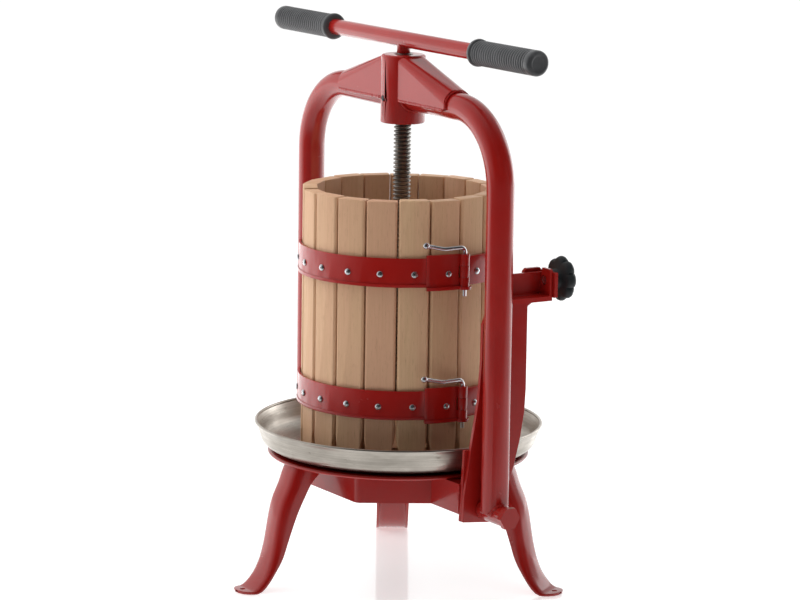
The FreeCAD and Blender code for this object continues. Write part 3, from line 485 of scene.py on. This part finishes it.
def finishPiece(name, bm, slot, body, replaced=(), smooth=35.0):
    mesh = bpy.data.meshes.new(name)
    bm.normal_update()
    bm.to_mesh(mesh)
    bm.free()
    piece = bpy.data.objects.new(name, mesh)
    scene.collection.objects.link(piece)
    mesh.materials.append(finishes[slot])
    mesh.shade_smooth()
    mesh.set_sharp_from_angle(angle=math.radians(smooth))
    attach(piece, body)
    if replaced:
        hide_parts(*replaced)


def join(target, extra):
    # Adds one bmesh's shape to another.
    carrier = bpy.data.meshes.new("carrier")
    extra.to_mesh(carrier)
    extra.free()
    target.from_mesh(carrier)
    bpy.data.meshes.remove(carrier)


def without(bm, cutter):
    # One shape with another cut out of it.
    pieces = []
    for shape in (bm, cutter):
        mesh = bpy.data.meshes.new("cutting")
        shape.to_mesh(mesh)
        shape.free()
        holder = bpy.data.objects.new("cutting", mesh)
        scene.collection.objects.link(holder)
        pieces.append(holder)
    opening = pieces[0].modifiers.new("opening", "BOOLEAN")
    opening.object = pieces[1]
    opening.operation = "DIFFERENCE"
    opening.solver = "EXACT"
    bpy.context.view_layer.update()
    result = bmesh.new()
    result.from_mesh(bpy.data.meshes.new_from_object(
        pieces[0].evaluated_get(bpy.context.evaluated_depsgraph_get())))
    for holder in pieces:
        bpy.data.objects.remove(holder)
    return result


# Screw: a right-handed thread with flat crests

screw = {"low": 0.2402, "high": 0.665, "crest": 0.011, "shoulder": 0.0003, "root": 0.0087, "pitch": 0.005,
         "steps": 36, "doublings": 7}


def makeScrew():
    pitch = screw["pitch"]
    crest = screw["crest"]
    shoulder = crest - screw["shoulder"]
    root = screw["root"]
    start = screw["low"] - 2 * pitch
    profile = [(root, start), (root, start + 0.2 * pitch), (shoulder, start + 0.37 * pitch),
               (crest, start + 0.43 * pitch), (crest, start + 0.72 * pitch),
               (shoulder, start + 0.78 * pitch), (root, start + 0.95 * pitch), (root, start + pitch)]
    bm = turned(profile, screw["steps"], rise=pitch, doublings=screw["doublings"])
    for level, side in ((screw["low"], -1), (screw["high"], 1)):
        bmesh.ops.bisect_plane(bm, geom=bm.verts[:] + bm.edges[:] + bm.faces[:], dist=0.000001,
                               plane_co=(0, 0, level), plane_no=(0, 0, side), clear_outer=True)
        rim = [edge for edge in bm.edges if edge.is_boundary and abs(edge.verts[0].co.z - level) < 0.00001]
        bmesh.ops.contextual_create(bm, geom=rim)
    bmesh.ops.recalc_face_normals(bm, faces=bm.faces)
    finishPiece("threadedScrew", bm, "dark_steel", "screw", ["spindle"], smooth=50)


# Grips: ribbed sleeves with a plain band and a dished end

grips = {"start": 0.1675, "end": 0.3015, "radius": 0.0155, "collar": 0.017, "collarLength": 0.0075,
         "ribPitch": 0.00485, "ribDepth": 0.0011, "ribEase": 0.0002, "plain": 0.012, "bore": 0.01003,
         "steps": 96, "grooveDepth": 0.0004, "barRadius": 0.01}


def gripProfile():
    start = grips["start"]
    collarEnd = start + grips["collarLength"]
    plainStart = grips["end"] - grips["plain"]
    radius = grips["radius"]
    eased = radius - grips["ribEase"]
    valley = radius - grips["ribDepth"]
    points = [(grips["bore"], start + 0.0002), (0.013, start + 0.0002), (0.0152, start + 0.0007),
              (0.0165, start + 0.0019), (grips["collar"], start + 0.0036), (0.0167, collarEnd - 0.0016),
              (valley, collarEnd)]
    count = int((plainStart - collarEnd) / grips["ribPitch"])
    pitch = (plainStart - collarEnd) / count
    for k in range(count):
        low = collarEnd + k * pitch
        points += [(valley, low + 0.12 * pitch), (eased, low + 0.24 * pitch), (radius, low + 0.4 * pitch),
                   (radius, low + 0.7 * pitch), (eased, low + 0.86 * pitch), (valley, low + pitch)]
    end = grips["end"]
    points += [(eased, plainStart + 0.0006), (radius, plainStart + 0.0014), (radius, end - 0.0042),
               (radius - 0.0005, end - 0.0024), (radius - 0.0017, end - 0.0009),
               (radius - 0.0034, end - 0.0001), (radius - 0.005, end), (radius - 0.0062, end - 0.0007),
               (radius - 0.0074, end - 0.0009), (0.0, end - 0.0009)]
    return points


def makeGrip(name, side, node):
    # Every second column of the ribs is set in a little, which makes the fine grooves.
    bm = turned(gripProfile(), grips["steps"])
    ribbed = (grips["start"] + grips["collarLength"] + 0.001, grips["end"] - grips["plain"] - 0.001)
    step = 2 * math.pi / grips["steps"]
    for vert in bm.verts:
        out = math.hypot(vert.co.x, vert.co.y)
        column = round(math.atan2(vert.co.y, vert.co.x) / step)
        if ribbed[0] < vert.co.z < ribbed[1] and out > grips["radius"] - 0.0003 and column % 2:
            vert.co.x *= 1 - grips["grooveDepth"] / out
            vert.co.y *= 1 - grips["grooveDepth"] / out
    low, high = (Vector(corner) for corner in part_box("handle_bar"))
    turn = Matrix.Rotation(math.radians(90 * side), 4, "Y")
    bm.transform(Matrix.Translation((0, 0, high.z - grips["barRadius"])) @ turn)
    finishPiece(name, bm, "black_rubber", "screw", [node], smooth=40)


# Clamping knob: eight soft lobes on a neck

knob = {"radius": 0.0278, "valley": 0.0243, "lobes": 8, "lobeCurve": 0.62, "growth": 1.5, "depth": 1.35,
        "columns": 112, "neck": 0.012, "neckEdge": 0.0015, "thickness": 0.013}


def makeKnob():
    low, high = (Vector(corner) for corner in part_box("knob"))
    centre = (low + high) / 2
    back = low.y
    front = high.y
    face = front - knob["thickness"]
    neck = knob["neck"]
    profile = [(0.0046, back), (neck - 0.001, back), (neck, back + 0.001), (neck, face - 0.0012),
               (neck + 0.0012, face), (0.0215, face + 0.0002), (0.0245, face + 0.0011),
               (0.0266, face + 0.0031), (0.0277, face + 0.0058), (0.0278, face + 0.0078),
               (0.0268, front - 0.0028),
               (0.0245, front - 0.0009), (0.0213, front - 0.0002), (0.0105, front - 0.0004),
               (0.0098, front - 0.0013), (0.0, front - 0.0013)]
    bm = turned(profile, knob["columns"])
    for vert in bm.verts:
        out = math.hypot(vert.co.x, vert.co.y)
        if out < neck + knob["neckEdge"]:
            continue
        turn = math.atan2(vert.co.y, vert.co.x)
        lobe = abs(math.cos(turn * knob["lobes"] / 2)) ** knob["lobeCurve"]
        share = ((out - neck) / (knob["radius"] - neck)) ** knob["growth"]
        scale = 1 - (1 - lobe) * (1 - knob["valley"] / knob["radius"]) * share * knob["depth"]
        vert.co.x *= scale
        vert.co.y *= scale
    bm.transform(Matrix.Translation((centre.x, 0, centre.z)) @ Matrix.Rotation(math.radians(-90), 4, "X"))
    finishPiece("lobedKnob", bm, "black_plastic", "clamp_knob", ["knob"], smooth=50)


# Tray: a spun dish with a rolled rim and an outlet

dish = {"sheet": 0.0012, "rim": 0.181, "rimHeight": 0.196, "base": 0.1605, "beadRadius": 0.0018,
        "floor": 0.149, "steps": 160, "spoutTurn": 148.0, "spoutWidth": 0.044, "spoutStart": 0.153,
        "spoutWall": 0.174, "spoutReach": 0.213, "spoutHeight": 0.0195, "spoutFall": 0.005,
        "spoutEdge": 0.005, "spoutFold": 0.004, "opening": (0.05, 0.03), "openingPlace": 0.18,
        "openingLevel": 0.01515}


def makeTray():
    base = dish["base"]
    sheet = dish["sheet"]
    rim = dish["rim"]
    top = dish["rimHeight"]
    bead = dish["beadRadius"]
    outer = [(0.0, base), (dish["floor"], base), (0.1545, base + 0.001), (0.16, base + 0.003),
             (0.1655, base + 0.0057), (0.1702, base + 0.0089), (0.1734, base + 0.0126),
             (0.1751, base + 0.0168), (0.1768, base + 0.0228), (rim - 0.002, top - 0.006)]
    roll = [(rim + bead * math.cos(math.radians(turn)), top + bead * math.sin(math.radians(turn)))
            for turn in range(-70, 231, 30)]
    inner = [(rim - 0.0033, top - 0.0062), (0.1756, base + 0.0231), (0.1739, base + 0.0172),
             (0.1723, base + 0.0133), (0.1694, base + 0.0099), (0.1649, base + 0.0069),
             (0.1595, base + 0.0042), (0.1541, base + 0.0022), (dish["floor"], base + sheet),
             (0.1, base + sheet), (0.0, base + sheet)]
    return turned(outer + roll + inner, dish["steps"])


def finishTray():
    half = dish["spoutWidth"] / 2 - dish["sheet"]
    along, tall = dish["opening"]
    level = dish["base"] + dish["sheet"] + dish["openingLevel"]
    opening = bmesh.new()
    bmesh.ops.create_cube(opening, size=1, matrix=Matrix.Diagonal((along, 2 * half, tall, 1)))
    opening.transform(place(dish["openingPlace"], 0, level, dish["spoutTurn"]))
    whole = without(makeTray(), opening)
    join(whole, spoutShape())
    finishPiece("spunTray", whole, "tray_steel", "base", ["tray"], smooth=35)


def spoutShape():
    # A folded gutter from the dish's wall, whose sides rise inside the dish and fall towards its end.
    bm = bmesh.new()
    half = dish["spoutWidth"] / 2
    base = dish["base"]
    sheet = dish["sheet"]
    corner = dish["spoutFold"]
    edge = base + dish["spoutEdge"]
    high = base + dish["spoutHeight"]
    side = [(half - corner, base), (half - sheet, base + sheet), (half, base + corner), (half, edge)]
    section = [(-across, up) for across, up in side[::-1]] + side
    edges = chained(bm, [(dish["spoutStart"], across, up) for across, up in section])[1]
    for out, top in ((dish["spoutWall"], high), (dish["spoutReach"], high - dish["spoutFall"])):
        made = bmesh.ops.extrude_edge_only(bm, edges=edges)["geom"]
        for vert in newOf(made, bmesh.types.BMVert):
            vert.co.x = out
            if vert.co.z > base + (corner + dish["spoutEdge"]) / 2:
                vert.co.z = top
        edges = [item for item in newOf(made, bmesh.types.BMEdge)
                 if all(abs(vert.co.x - out) < 0.000001 for vert in item.verts)]
    bmesh.ops.recalc_face_normals(bm, faces=bm.faces)
    facesOutwards(bm, -zAxis)
    bmesh.ops.solidify(bm, geom=bm.faces[:], thickness=sheet)
    bm.transform(place(0, 0, 0, dish["spoutTurn"]))
    return bm


# Staves: planed beech with eased outer edges, each cut to a slightly different height

staves = {"easing": 0.0026, "smallEasing": 0.0007, "heightSpread": 0.0016, "seed": 11, "longEdge": 0.2}


def makeStave(number):
    node = f"stave_{number:02d}"
    bm = copied(node)
    far = max(math.hypot(vert.co.x, vert.co.y) for vert in bm.verts)
    high = max(vert.co.z for vert in bm.verts)
    lower = noise.random() * staves["heightSpread"]
    for vert in bm.verts:
        if vert.co.z > high - 0.001:
            vert.co.z -= lower
    outer = [edge for edge in bm.edges
             if all(math.hypot(vert.co.x, vert.co.y) > far - 0.0006 for vert in edge.verts)
             and abs(edge.verts[0].co.z - edge.verts[1].co.z) > staves["longEdge"]]
    rounded(bm, outer, staves["easing"], 1)
    rounded(bm, sharpEdges(bm, 32), staves["smallEasing"], 2)
    finishPiece(f"beechStave{number:02d}", bm, "beech", "base", [node], smooth=30)


# Screws through the bands: low domed heads with a four-pointed recess

headScrews = {"radius": 0.0043, "height": 0.0026, "steps": 16, "recess": 0.0017, "depth": 0.0011,
              "pinch": 0.42, "levels": (0.2402, 0.4062), "onBand": 0.12875, "onLeaf": 0.13175,
              "leafAngle": 22.1}


def headShape():
    high = headScrews["height"]
    floor = high - headScrews["depth"]
    recess = headScrews["recess"]
    steps = headScrews["steps"]
    profile = [(0.0, floor), (recess * 0.8, floor), (recess, high - 0.0002), (0.0026, high - 0.0005),
               (0.0037, high - 0.0012), (headScrews["radius"], 0.0005), (headScrews["radius"], 0.0)]
    head = turned(profile, steps)
    for vert in head.verts:
        out = math.hypot(vert.co.x, vert.co.y)
        column = round(math.atan2(vert.co.y, vert.co.x) / (2 * math.pi / steps))
        if 0.0001 < out < recess + 0.0001 and column % 4:
            vert.co.x *= headScrews["pinch"]
            vert.co.y *= headScrews["pinch"]
    return head


def headOut(angle):
    # How far out a head sits: on a leaf it is one sheet further than on the plain band.
    splits = (basket["splitAngle"], basket["splitAngle"] + basket["backStaves"] * 360 / basket["staves"])
    near = min(abs((angle - split + 180) % 360 - 180) for split in splits)
    return headScrews["onLeaf"] if near < headScrews["leafAngle"] else headScrews["onBand"]


def makeHeads():
    whole = bmesh.new()
    for level in headScrews["levels"]:
        for k in range(basket["staves"]):
            angle = basket["splitAngle"] + (k + 0.5) * 360 / basket["staves"]
            head = headShape()
            spin = Matrix.Rotation(noise.random() * 1.5, 4, "Z")
            lay = Matrix.Rotation(math.radians(90), 4, "Y")
            head.transform(place(headOut(angle), 0, level, angle) @ lay @ spin)
            join(whole, head)
    finishPiece("bandScrewHeads", whole, "zinc_steel", "base", ["band_screws"], smooth=45)


# Disc: a round plate with a soft rim, a little wider than the tray's flat floor

plate = {"low": 0.156, "high": 0.1605, "radius": 0.1662, "steps": 160}


def makeDisc():
    low = plate["low"]
    high = plate["high"]
    out = plate["radius"]
    profile = [(0.0, low), (out - 0.0025, low), (out - 0.0008, low + 0.0006), (out, low + 0.0019),
               (out - 0.0001, low + 0.0028), (out - 0.0009, high - 0.0007), (out - 0.0026, high - 0.0001),
               (out - 0.008, high), (0.0, high)]
    bm = turned(profile, plate["steps"])
    finishPiece("pressedDisc", bm, "red_paint", "base", ["base_disc"], smooth=40)


# Apron: its six corners are wide folds

apron = {"foldWidth": 0.0055, "foldSteps": 6, "shortest": 0.02, "steepest": 0.8}


def makeApron():
    bm = copied("base_frame")
    folds = []
    for edge in sharpEdges(bm, 20):
        way = edge.verts[1].co - edge.verts[0].co
        if way.length > apron["shortest"] and abs(way.normalized().z) > apron["steepest"]:
            folds.append(edge)
    rounded(bm, folds, apron["foldWidth"], apron["foldSteps"])
    finishPiece("foldedApron", bm, "red_paint", "base", ["base_frame"], smooth=30)


# Legs: pressed channels with soft folds, which flatten into a toe with a screw hole

legs = {
    "turns": {"leg_front": 270, "leg_right": 30, "leg_back": 150},
    "under": 0.156, "circle": 0.216, "topWidth": 0.045, "footWidth": 0.042, "sheet": 0.0034,
    "fold": 0.0135, "crown": 0.0008, "stations": 34,
    "toe": 0.2338, "toeStart": 0.2195, "toeSheet": 0.004, "toeLip": 0.005, "toeSteps": 9, "toeTurn": 86,
    "hole": 0.0035, "holePlace": 0.225,
    # Along the web and the flanges' edge: millimetres out from a circle, and the share of the height
    "web": [(-57, 1.0), (-52, 0.93), (-46.5, 0.835), (-38, 0.72), (-33, 0.6), (-29.5, 0.475), (-26, 0.356),
            (-21, 0.231), (-13, 0.119), (-3, 0.05), (4, 0.026)],
    "edge": [(-97, 0.975), (-86.5, 0.925), (-76, 0.856), (-66, 0.74), (-57.5, 0.631), (-50.5, 0.519),
             (-43.5, 0.394), (-36.5, 0.269), (-27, 0.165), (-15, 0.06), (-4, 0.0)],
}


def legPoint(table, share):
    # A place on a smooth line through the table's points.
    spots = [Vector((legs["circle"] + out / 1000, 0, legs["under"] * up)) for out, up in table]
    spots = [spots[0] * 2 - spots[1]] + spots + [spots[-1] * 2 - spots[-2]]
    at = share * (len(table) - 1)
    k = min(int(at), len(table) - 2)
    part = at - k
    a, b, c, d = spots[k:k + 4]
    return 0.5 * (2 * b + (c - a) * part + (2 * a - 5 * b + 4 * c - d) * part ** 2
                  + (3 * b - a - 3 * c + d) * part ** 3)


def legSection(face, edge, share=1.0):
    # Across the leg at one station: a flange, a soft fold, the crowned web, and the same back again.
    depth = (edge - face).length
    inwards = (edge - face).normalized()
    spread = (legs["topWidth"] - legs["footWidth"]) * face.z / legs["under"]
    half = share * (legs["footWidth"] + spread) / 2
    fold = min(legs["fold"], depth * 0.72, half * 0.8)
    crown = min(legs["crown"], fold * 0.1)
    side = [(half, depth), (half, (depth + fold) / 2)]
    for degrees in range(0, 91, 15):
        turn = math.radians(degrees)
        side.append((half - fold * (1 - math.cos(turn)), crown + (fold - crown) * (1 - math.sin(turn))))
    side.append(((half - fold) / 2, crown * 0.3))
    across = [(-width, down) for width, down in side] + [(0.0, 0.0)] + side[::-1]
    return [face + yAxis * width + inwards * down for width, down in across]


def legStations():
    # Each station: a point on the web, one on the flanges' edge, and the share of the width.
    rows = []
    for k in range(legs["stations"] - 1):
        share = k / (legs["stations"] - 1)
        rows.append((legPoint(legs["web"], share), legPoint(legs["edge"], share), 1.0))
    first = legs["toeStart"]
    for k in range(legs["toeSteps"] + 1):
        turn = math.radians(legs["toeTurn"] * k / legs["toeSteps"])
        out = first + (legs["toe"] - first) * math.sin(turn)
        edge = Vector((out - legs["toeLip"] * math.cos(turn), 0, 0.0005))
        rows.append((Vector((out, 0, legs["toeSheet"])), edge, math.cos(turn) ** 0.75))
    return rows


def makeLeg(node, turn):
    bm = bmesh.new()
    stations = legStations()
    chain, edges = chained(bm, legSection(*stations[0]))
    for face, edge, share in stations[1:]:
        made = bmesh.ops.extrude_edge_only(bm, edges=edges)["geom"]
        edges = [item for item in newOf(made, bmesh.types.BMEdge)
                 if all(vert not in chain for vert in item.verts)]
        fresh = {vert for item in edges for vert in item.verts}
        follower = {near: far for near in chain for far in fresh if bm.edges.get((near, far))}
        chain = [follower[near] for near in chain]
        for vert, spot in zip(chain, legSection(face, edge, share)):
            vert.co = spot
    bmesh.ops.recalc_face_normals(bm, faces=bm.faces)
    bm.normal_update()
    facesOutwards(bm, Vector((1, 0, 0)))
    bmesh.ops.solidify(bm, geom=bm.faces[:], thickness=legs["sheet"])
    for vert in bm.verts:
        vert.co.z = min(max(vert.co.z, 0.0), legs["under"])
    punch = bmesh.new()
    bmesh.ops.create_cone(punch, cap_ends=True, segments=32, radius1=legs["hole"], radius2=legs["hole"],
                          depth=0.03, matrix=Matrix.Translation((legs["holePlace"], 0, 0)))
    bm = without(bm, punch)
    bm.transform(Matrix.Rotation(math.radians(turn), 4, "Z"))
    name = "pressedLeg" + node.split("_")[1].capitalize()
    finishPiece(name, bm, "red_paint", "base", [node], smooth=32)


# Weld beads: uneven round runs where the painted pieces join

welds = {"ripple": 0.28, "spacing": 0.0016, "sides": 3, "skirt": 0.0022, "end": 0.0017, "under": 0.0021,
         "saddle": 0.0022, "base": 0.0015}


def bead(points, size, closed, seed):
    # A rippled run of weld along points, as a mesh.
    line = [Vector(point) for point in points]
    if closed:
        line.append(line[0])
    steps = []
    for first, second in zip(line, line[1:]):
        count = max(1, round((second - first).length / welds["spacing"]))
        steps += [first.lerp(second, k / count) for k in range(count)]
    if not closed:
        steps.append(line[-1])
    curve = bpy.data.curves.new("weldRun", "CURVE")
    curve.dimensions = "3D"
    curve.bevel_depth = size
    curve.bevel_resolution = welds["sides"] - 1
    curve.use_fill_caps = True
    run = curve.splines.new("POLY")
    run.points.add(len(steps) - 1)
    run.use_cyclic_u = closed
    for k, (knot, step) in enumerate(zip(run.points, steps)):
        wobble = noise.noise(step * 160 + Vector((seed, 0, 0)))
        knot.co = (*(step + Vector((wobble, noise.noise(step * 190), 0)) * size * 0.18), 1)
        taper = 1.0 if closed else min(1.0, 0.45 + 0.35 * min(k, len(steps) - 1 - k))
        knot.radius = taper * (1 + welds["ripple"] * (math.sin(k * 1.9) * 0.45 + wobble))
    holder = bpy.data.objects.new("weldRun", curve)
    scene.collection.objects.link(holder)
    mesh = bpy.data.meshes.new_from_object(holder)
    bm = bmesh.new()
    bm.from_mesh(mesh)
    bpy.data.objects.remove(holder)
    return bm


def finishWelds(name, body, runs):
    whole = bmesh.new()
    for number, (points, size, closed) in enumerate(runs):
        join(whole, bead(points, size, closed, 3.7 * number))
    finishPiece(name, whole, "red_paint", body, smooth=60)


# Where the arch's welds run: its centre lines, the radii of its tubes and how far out each run lies
arch = {"half": 0.225, "top": 0.612, "tube": 0.017, "housing": 0.028, "reach": 0.1263, "skirt": 0.6079,
        "skirtStart": 0.019, "skirtStep": 0.0355, "skirtOut": 0.0191, "endOut": 0.0181, "underOut": 1.03,
        "pivot": 0.124, "barrel": 0.0125, "saddle": 0.0168, "saddleHalf": 0.0132}


def onHousing(across):
    return math.sqrt(arch["housing"] ** 2 - across ** 2)


def archRuns(side):
    # The runs on one half of the arch, each with its size and whether it is closed; side is 1 or -1.
    runs = []
    for across in (-1, 1):
        skirt = [(side * (arch["skirtStart"] + arch["skirtStep"] * k), across * arch["skirtOut"],
                  arch["skirt"]) for k in range(4)]
        runs.append((skirt, welds["skirt"], False))
    end = []
    for degrees in range(-100, 101, 10):
        turn = math.radians(degrees)
        end.append((side * arch["reach"], arch["endOut"] * math.sin(turn),
                    arch["top"] + arch["endOut"] * math.cos(turn)))
    runs.append((end, welds["end"], False))
    under = []
    for degrees in range(100, 261, 8):
        turn = math.radians(degrees)
        across = arch["tube"] * math.sin(turn)
        under.append((side * (onHousing(across) + 0.0006), across * arch["underOut"],
                      arch["top"] + arch["tube"] * arch["underOut"] * math.cos(turn)))
    runs.append((under, welds["under"], False))
    saddle = []
    for degrees in range(0, 360, 10):
        turn = math.radians(degrees)
        across = arch["saddle"] * math.sin(turn)
        held = max(min(across, arch["saddleHalf"]), -arch["saddleHalf"])
        up = math.sqrt(max(arch["barrel"] ** 2 - held ** 2, 0.0))
        saddle.append((side * (arch["half"] + arch["saddle"] * math.cos(turn)), held,
                       arch["pivot"] + max(up, 0.0016)))
    runs.append((saddle, welds["saddle"], True))
    return runs


def makeArchWelds():
    finishWelds("archWelds", "arch", archRuns(1) + archRuns(-1))


armEnd = {"out": 0.1914, "low": 0.119, "high": 0.156, "half": 0.0302, "topHalf": 0.029, "top": 0.1564}


def makeBaseWelds():
    # Round each arm's end, where it meets the end plate
    runs = []
    half = armEnd["half"]
    topHalf = armEnd["topHalf"]
    for side in (-1, 1):
        x = side * armEnd["out"]
        for across in (-half, half):
            runs.append(([(x, across, armEnd["low"]), (x, across, armEnd["high"])], welds["base"], False))
        runs.append(([(x, -topHalf, armEnd["top"]), (x, topHalf, armEnd["top"])], welds["base"], False))
    finishWelds("baseWelds", "base", runs)


# Oil hole: its shade is painted as a dark round disc with a sunk middle, low on the housing's side

holeShade = {"turn": 263, "height": 0.366, "radius": 0.0036, "lip": 0.0004, "inner": 0.0262, "face": 0.0281,
        "rim": 0.0284, "steps": 32}


def makeHoleShade():
    low, high = (Vector(corner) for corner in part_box("nut_housing"))
    radius = holeShade["radius"]
    lip = holeShade["lip"]
    face = holeShade["face"]
    bm = turned([(0.0, holeShade["inner"]), (radius, holeShade["inner"]), (radius, face), (radius - lip, holeShade["rim"]),
                 (radius - 2 * lip, face), (0.0, face)], holeShade["steps"])
    level = low.z + holeShade["height"] * (high.z - low.z)
    bm.transform(Matrix.Translation((0, 0, level)) @ Matrix.Rotation(math.radians(holeShade["turn"]), 4, "Z")
                 @ Matrix.Rotation(math.radians(90), 4, "Y"))
    finishPiece("housingHoleShade", bm, "black_plastic", "arch", smooth=30)


# All the pieces, in the order of their random draws

def makePieces():
    makeScrew()
    makeGrip("grippedSleeveRight", 1, "grip_right")
    makeGrip("grippedSleeveLeft", -1, "grip_left")
    makeKnob()
    finishTray()
    noise.seed_set(staves["seed"])
    for number in range(1, basket["staves"] + 1):
        makeStave(number)
    makeHeads()
    makeDisc()
    makeApron()
    for node, turn in legs["turns"].items():
        makeLeg(node, turn)
    makeArchWelds()
    makeBaseWelds()
    makeHoleShade()


makePieces()
print("pieces made")


# Floor and soft studio light

studio = {
    "floor": (0.95, 0.945, 0.94, 1), "floorDull": (0.9, 0.9, 0.9, 1), "floorSize": 20, "floorGlow": 0.56,
    "floorCoat": 0.8, "floorCoatRoughness": 0.06, "floorRoughness": 0.35,
    "glossNear": 0.85, "glossFar": 0.06, "nearEdge": -0.3, "farEdge": -0.8, "glossBehind": 0.9,
    "behindEdge": 0.45, "back": 1.05, "front": 0.03, "overhead": 0.62, "leftLean": 0.42,
    "dimEdge": -0.45, "fullEdge": 0.6, "aim": (0, 0, 0.33),
}
white = (1, 1, 1, 1)
# Each box: metres to the right, behind and up, size, power, and whether reflections show it
softBoxes = {
    "leftBox": (-1.6, 0.75, 0.9, (1.2, 1.8), 19.0, False),
    "rightBox": (1.7, 1.5, 0.8, (0.9, 1.8), 8.0, True),
    "topBox": (-0.2, -0.1, 2.2, (1.8, 1.8), 23.0, False),
    "leftSide": (-1.8, -0.95, 0.7, (1.1, 1.6), 3.0, False),
    "rightSide": (1.8, -0.95, 0.6, (1.1, 1.6), 6.5, False),
    "frontFill": (0.3, -3.2, 2.4, (1.2, 0.8), 4.0, False),
}
right = Vector(view["forward"]).cross(zAxis).normalized()
ahead = zAxis.cross(right).normalized()


def makeFloor():
    # Plain glowing paper; in reflections it is dim far in front of the press, and bright near and behind it.
    bm = bmesh.new()
    bmesh.ops.create_grid(bm, x_segments=2, y_segments=2, size=studio["floorSize"])
    mesh = bpy.data.meshes.new("floor")
    bm.to_mesh(mesh)
    bm.free()
    floor = bpy.data.objects.new("floor", mesh)
    scene.collection.objects.link(floor)
    material, tree, shader, point = startMaterial("floorPaper")
    tone = remap(tree, cloud(tree, point, 3.0, 3.0, 0.5), 0.3, 0.7, 0.98, 1.0)
    feed(tree, shader, Base_Color=mixColour(tree, tone, studio["floorDull"], studio["floor"]),
         Roughness=studio["floorRoughness"], Coat_Weight=studio["floorCoat"],
         Coat_Roughness=studio["floorCoatRoughness"], Emission_Color=white,
         Emission_Strength=studio["floorGlow"])
    away = towards(tree, point, ahead)
    before = remap(tree, away, studio["farEdge"], studio["nearEdge"], studio["glossFar"], studio["glossNear"])
    behind = remap(tree, away, 0.0, studio["behindEdge"], 0.0, studio["glossBehind"])
    mirrored = newNode(tree, "ShaderNodeEmission")
    feed(tree, mirrored, Color=white, Strength=calc(tree, "ADD", before, behind))
    pickByRay(tree, "Is Glossy Ray", shader, mirrored, tree.nodes["Material Output"])
    mesh.materials.append(material)


def softBox(name, aside, forward, height, size, power, glossy):
    data = bpy.data.lights.new(name, "AREA")
    data.shape = "RECTANGLE"
    data.size, data.size_y = size
    data.energy = power
    lamp = bpy.data.objects.new(name, data)
    scene.collection.objects.link(lamp)
    spot = right * aside + ahead * forward + zAxis * height
    lamp.location = spot
    lamp.rotation_euler = (Vector(studio["aim"]) - spot).to_track_quat("-Z", "Y").to_euler()
    lamp.visible_camera = False
    lamp.visible_glossy = glossy


def makeWorld():
    # White all round for the eye; for the reflections it is bright behind the press and dim before it.
    world = bpy.data.worlds.new("studio")
    scene.world = world
    world.use_nodes = True
    tree = world.node_tree
    background = tree.nodes["Background"]
    way = newNode(tree, "ShaderNodeTexCoord").outputs["Generated"]
    lean = towards(tree, way, ahead - right * studio["leftLean"])
    level = remap(tree, lean, studio["dimEdge"], studio["fullEdge"], studio["front"], studio["back"])
    falloff = remap(tree, partsOf(tree, way)["Z"], 0.15, 0.8, 1.0, studio["overhead"])
    feed(tree, background, Color=white, Strength=calc(tree, "MULTIPLY", level, falloff))
    plain = newNode(tree, "ShaderNodeBackground")
    feed(tree, plain, Color=white, Strength=studio["back"])
    pickByRay(tree, "Is Camera Ray", background, plain, tree.nodes["World Output"])


makeFloor()
makeWorld()
for name, values in softBoxes.items():
    softBox(name, *values)
scene.view_settings.view_transform = "Standard"
print("studio set")
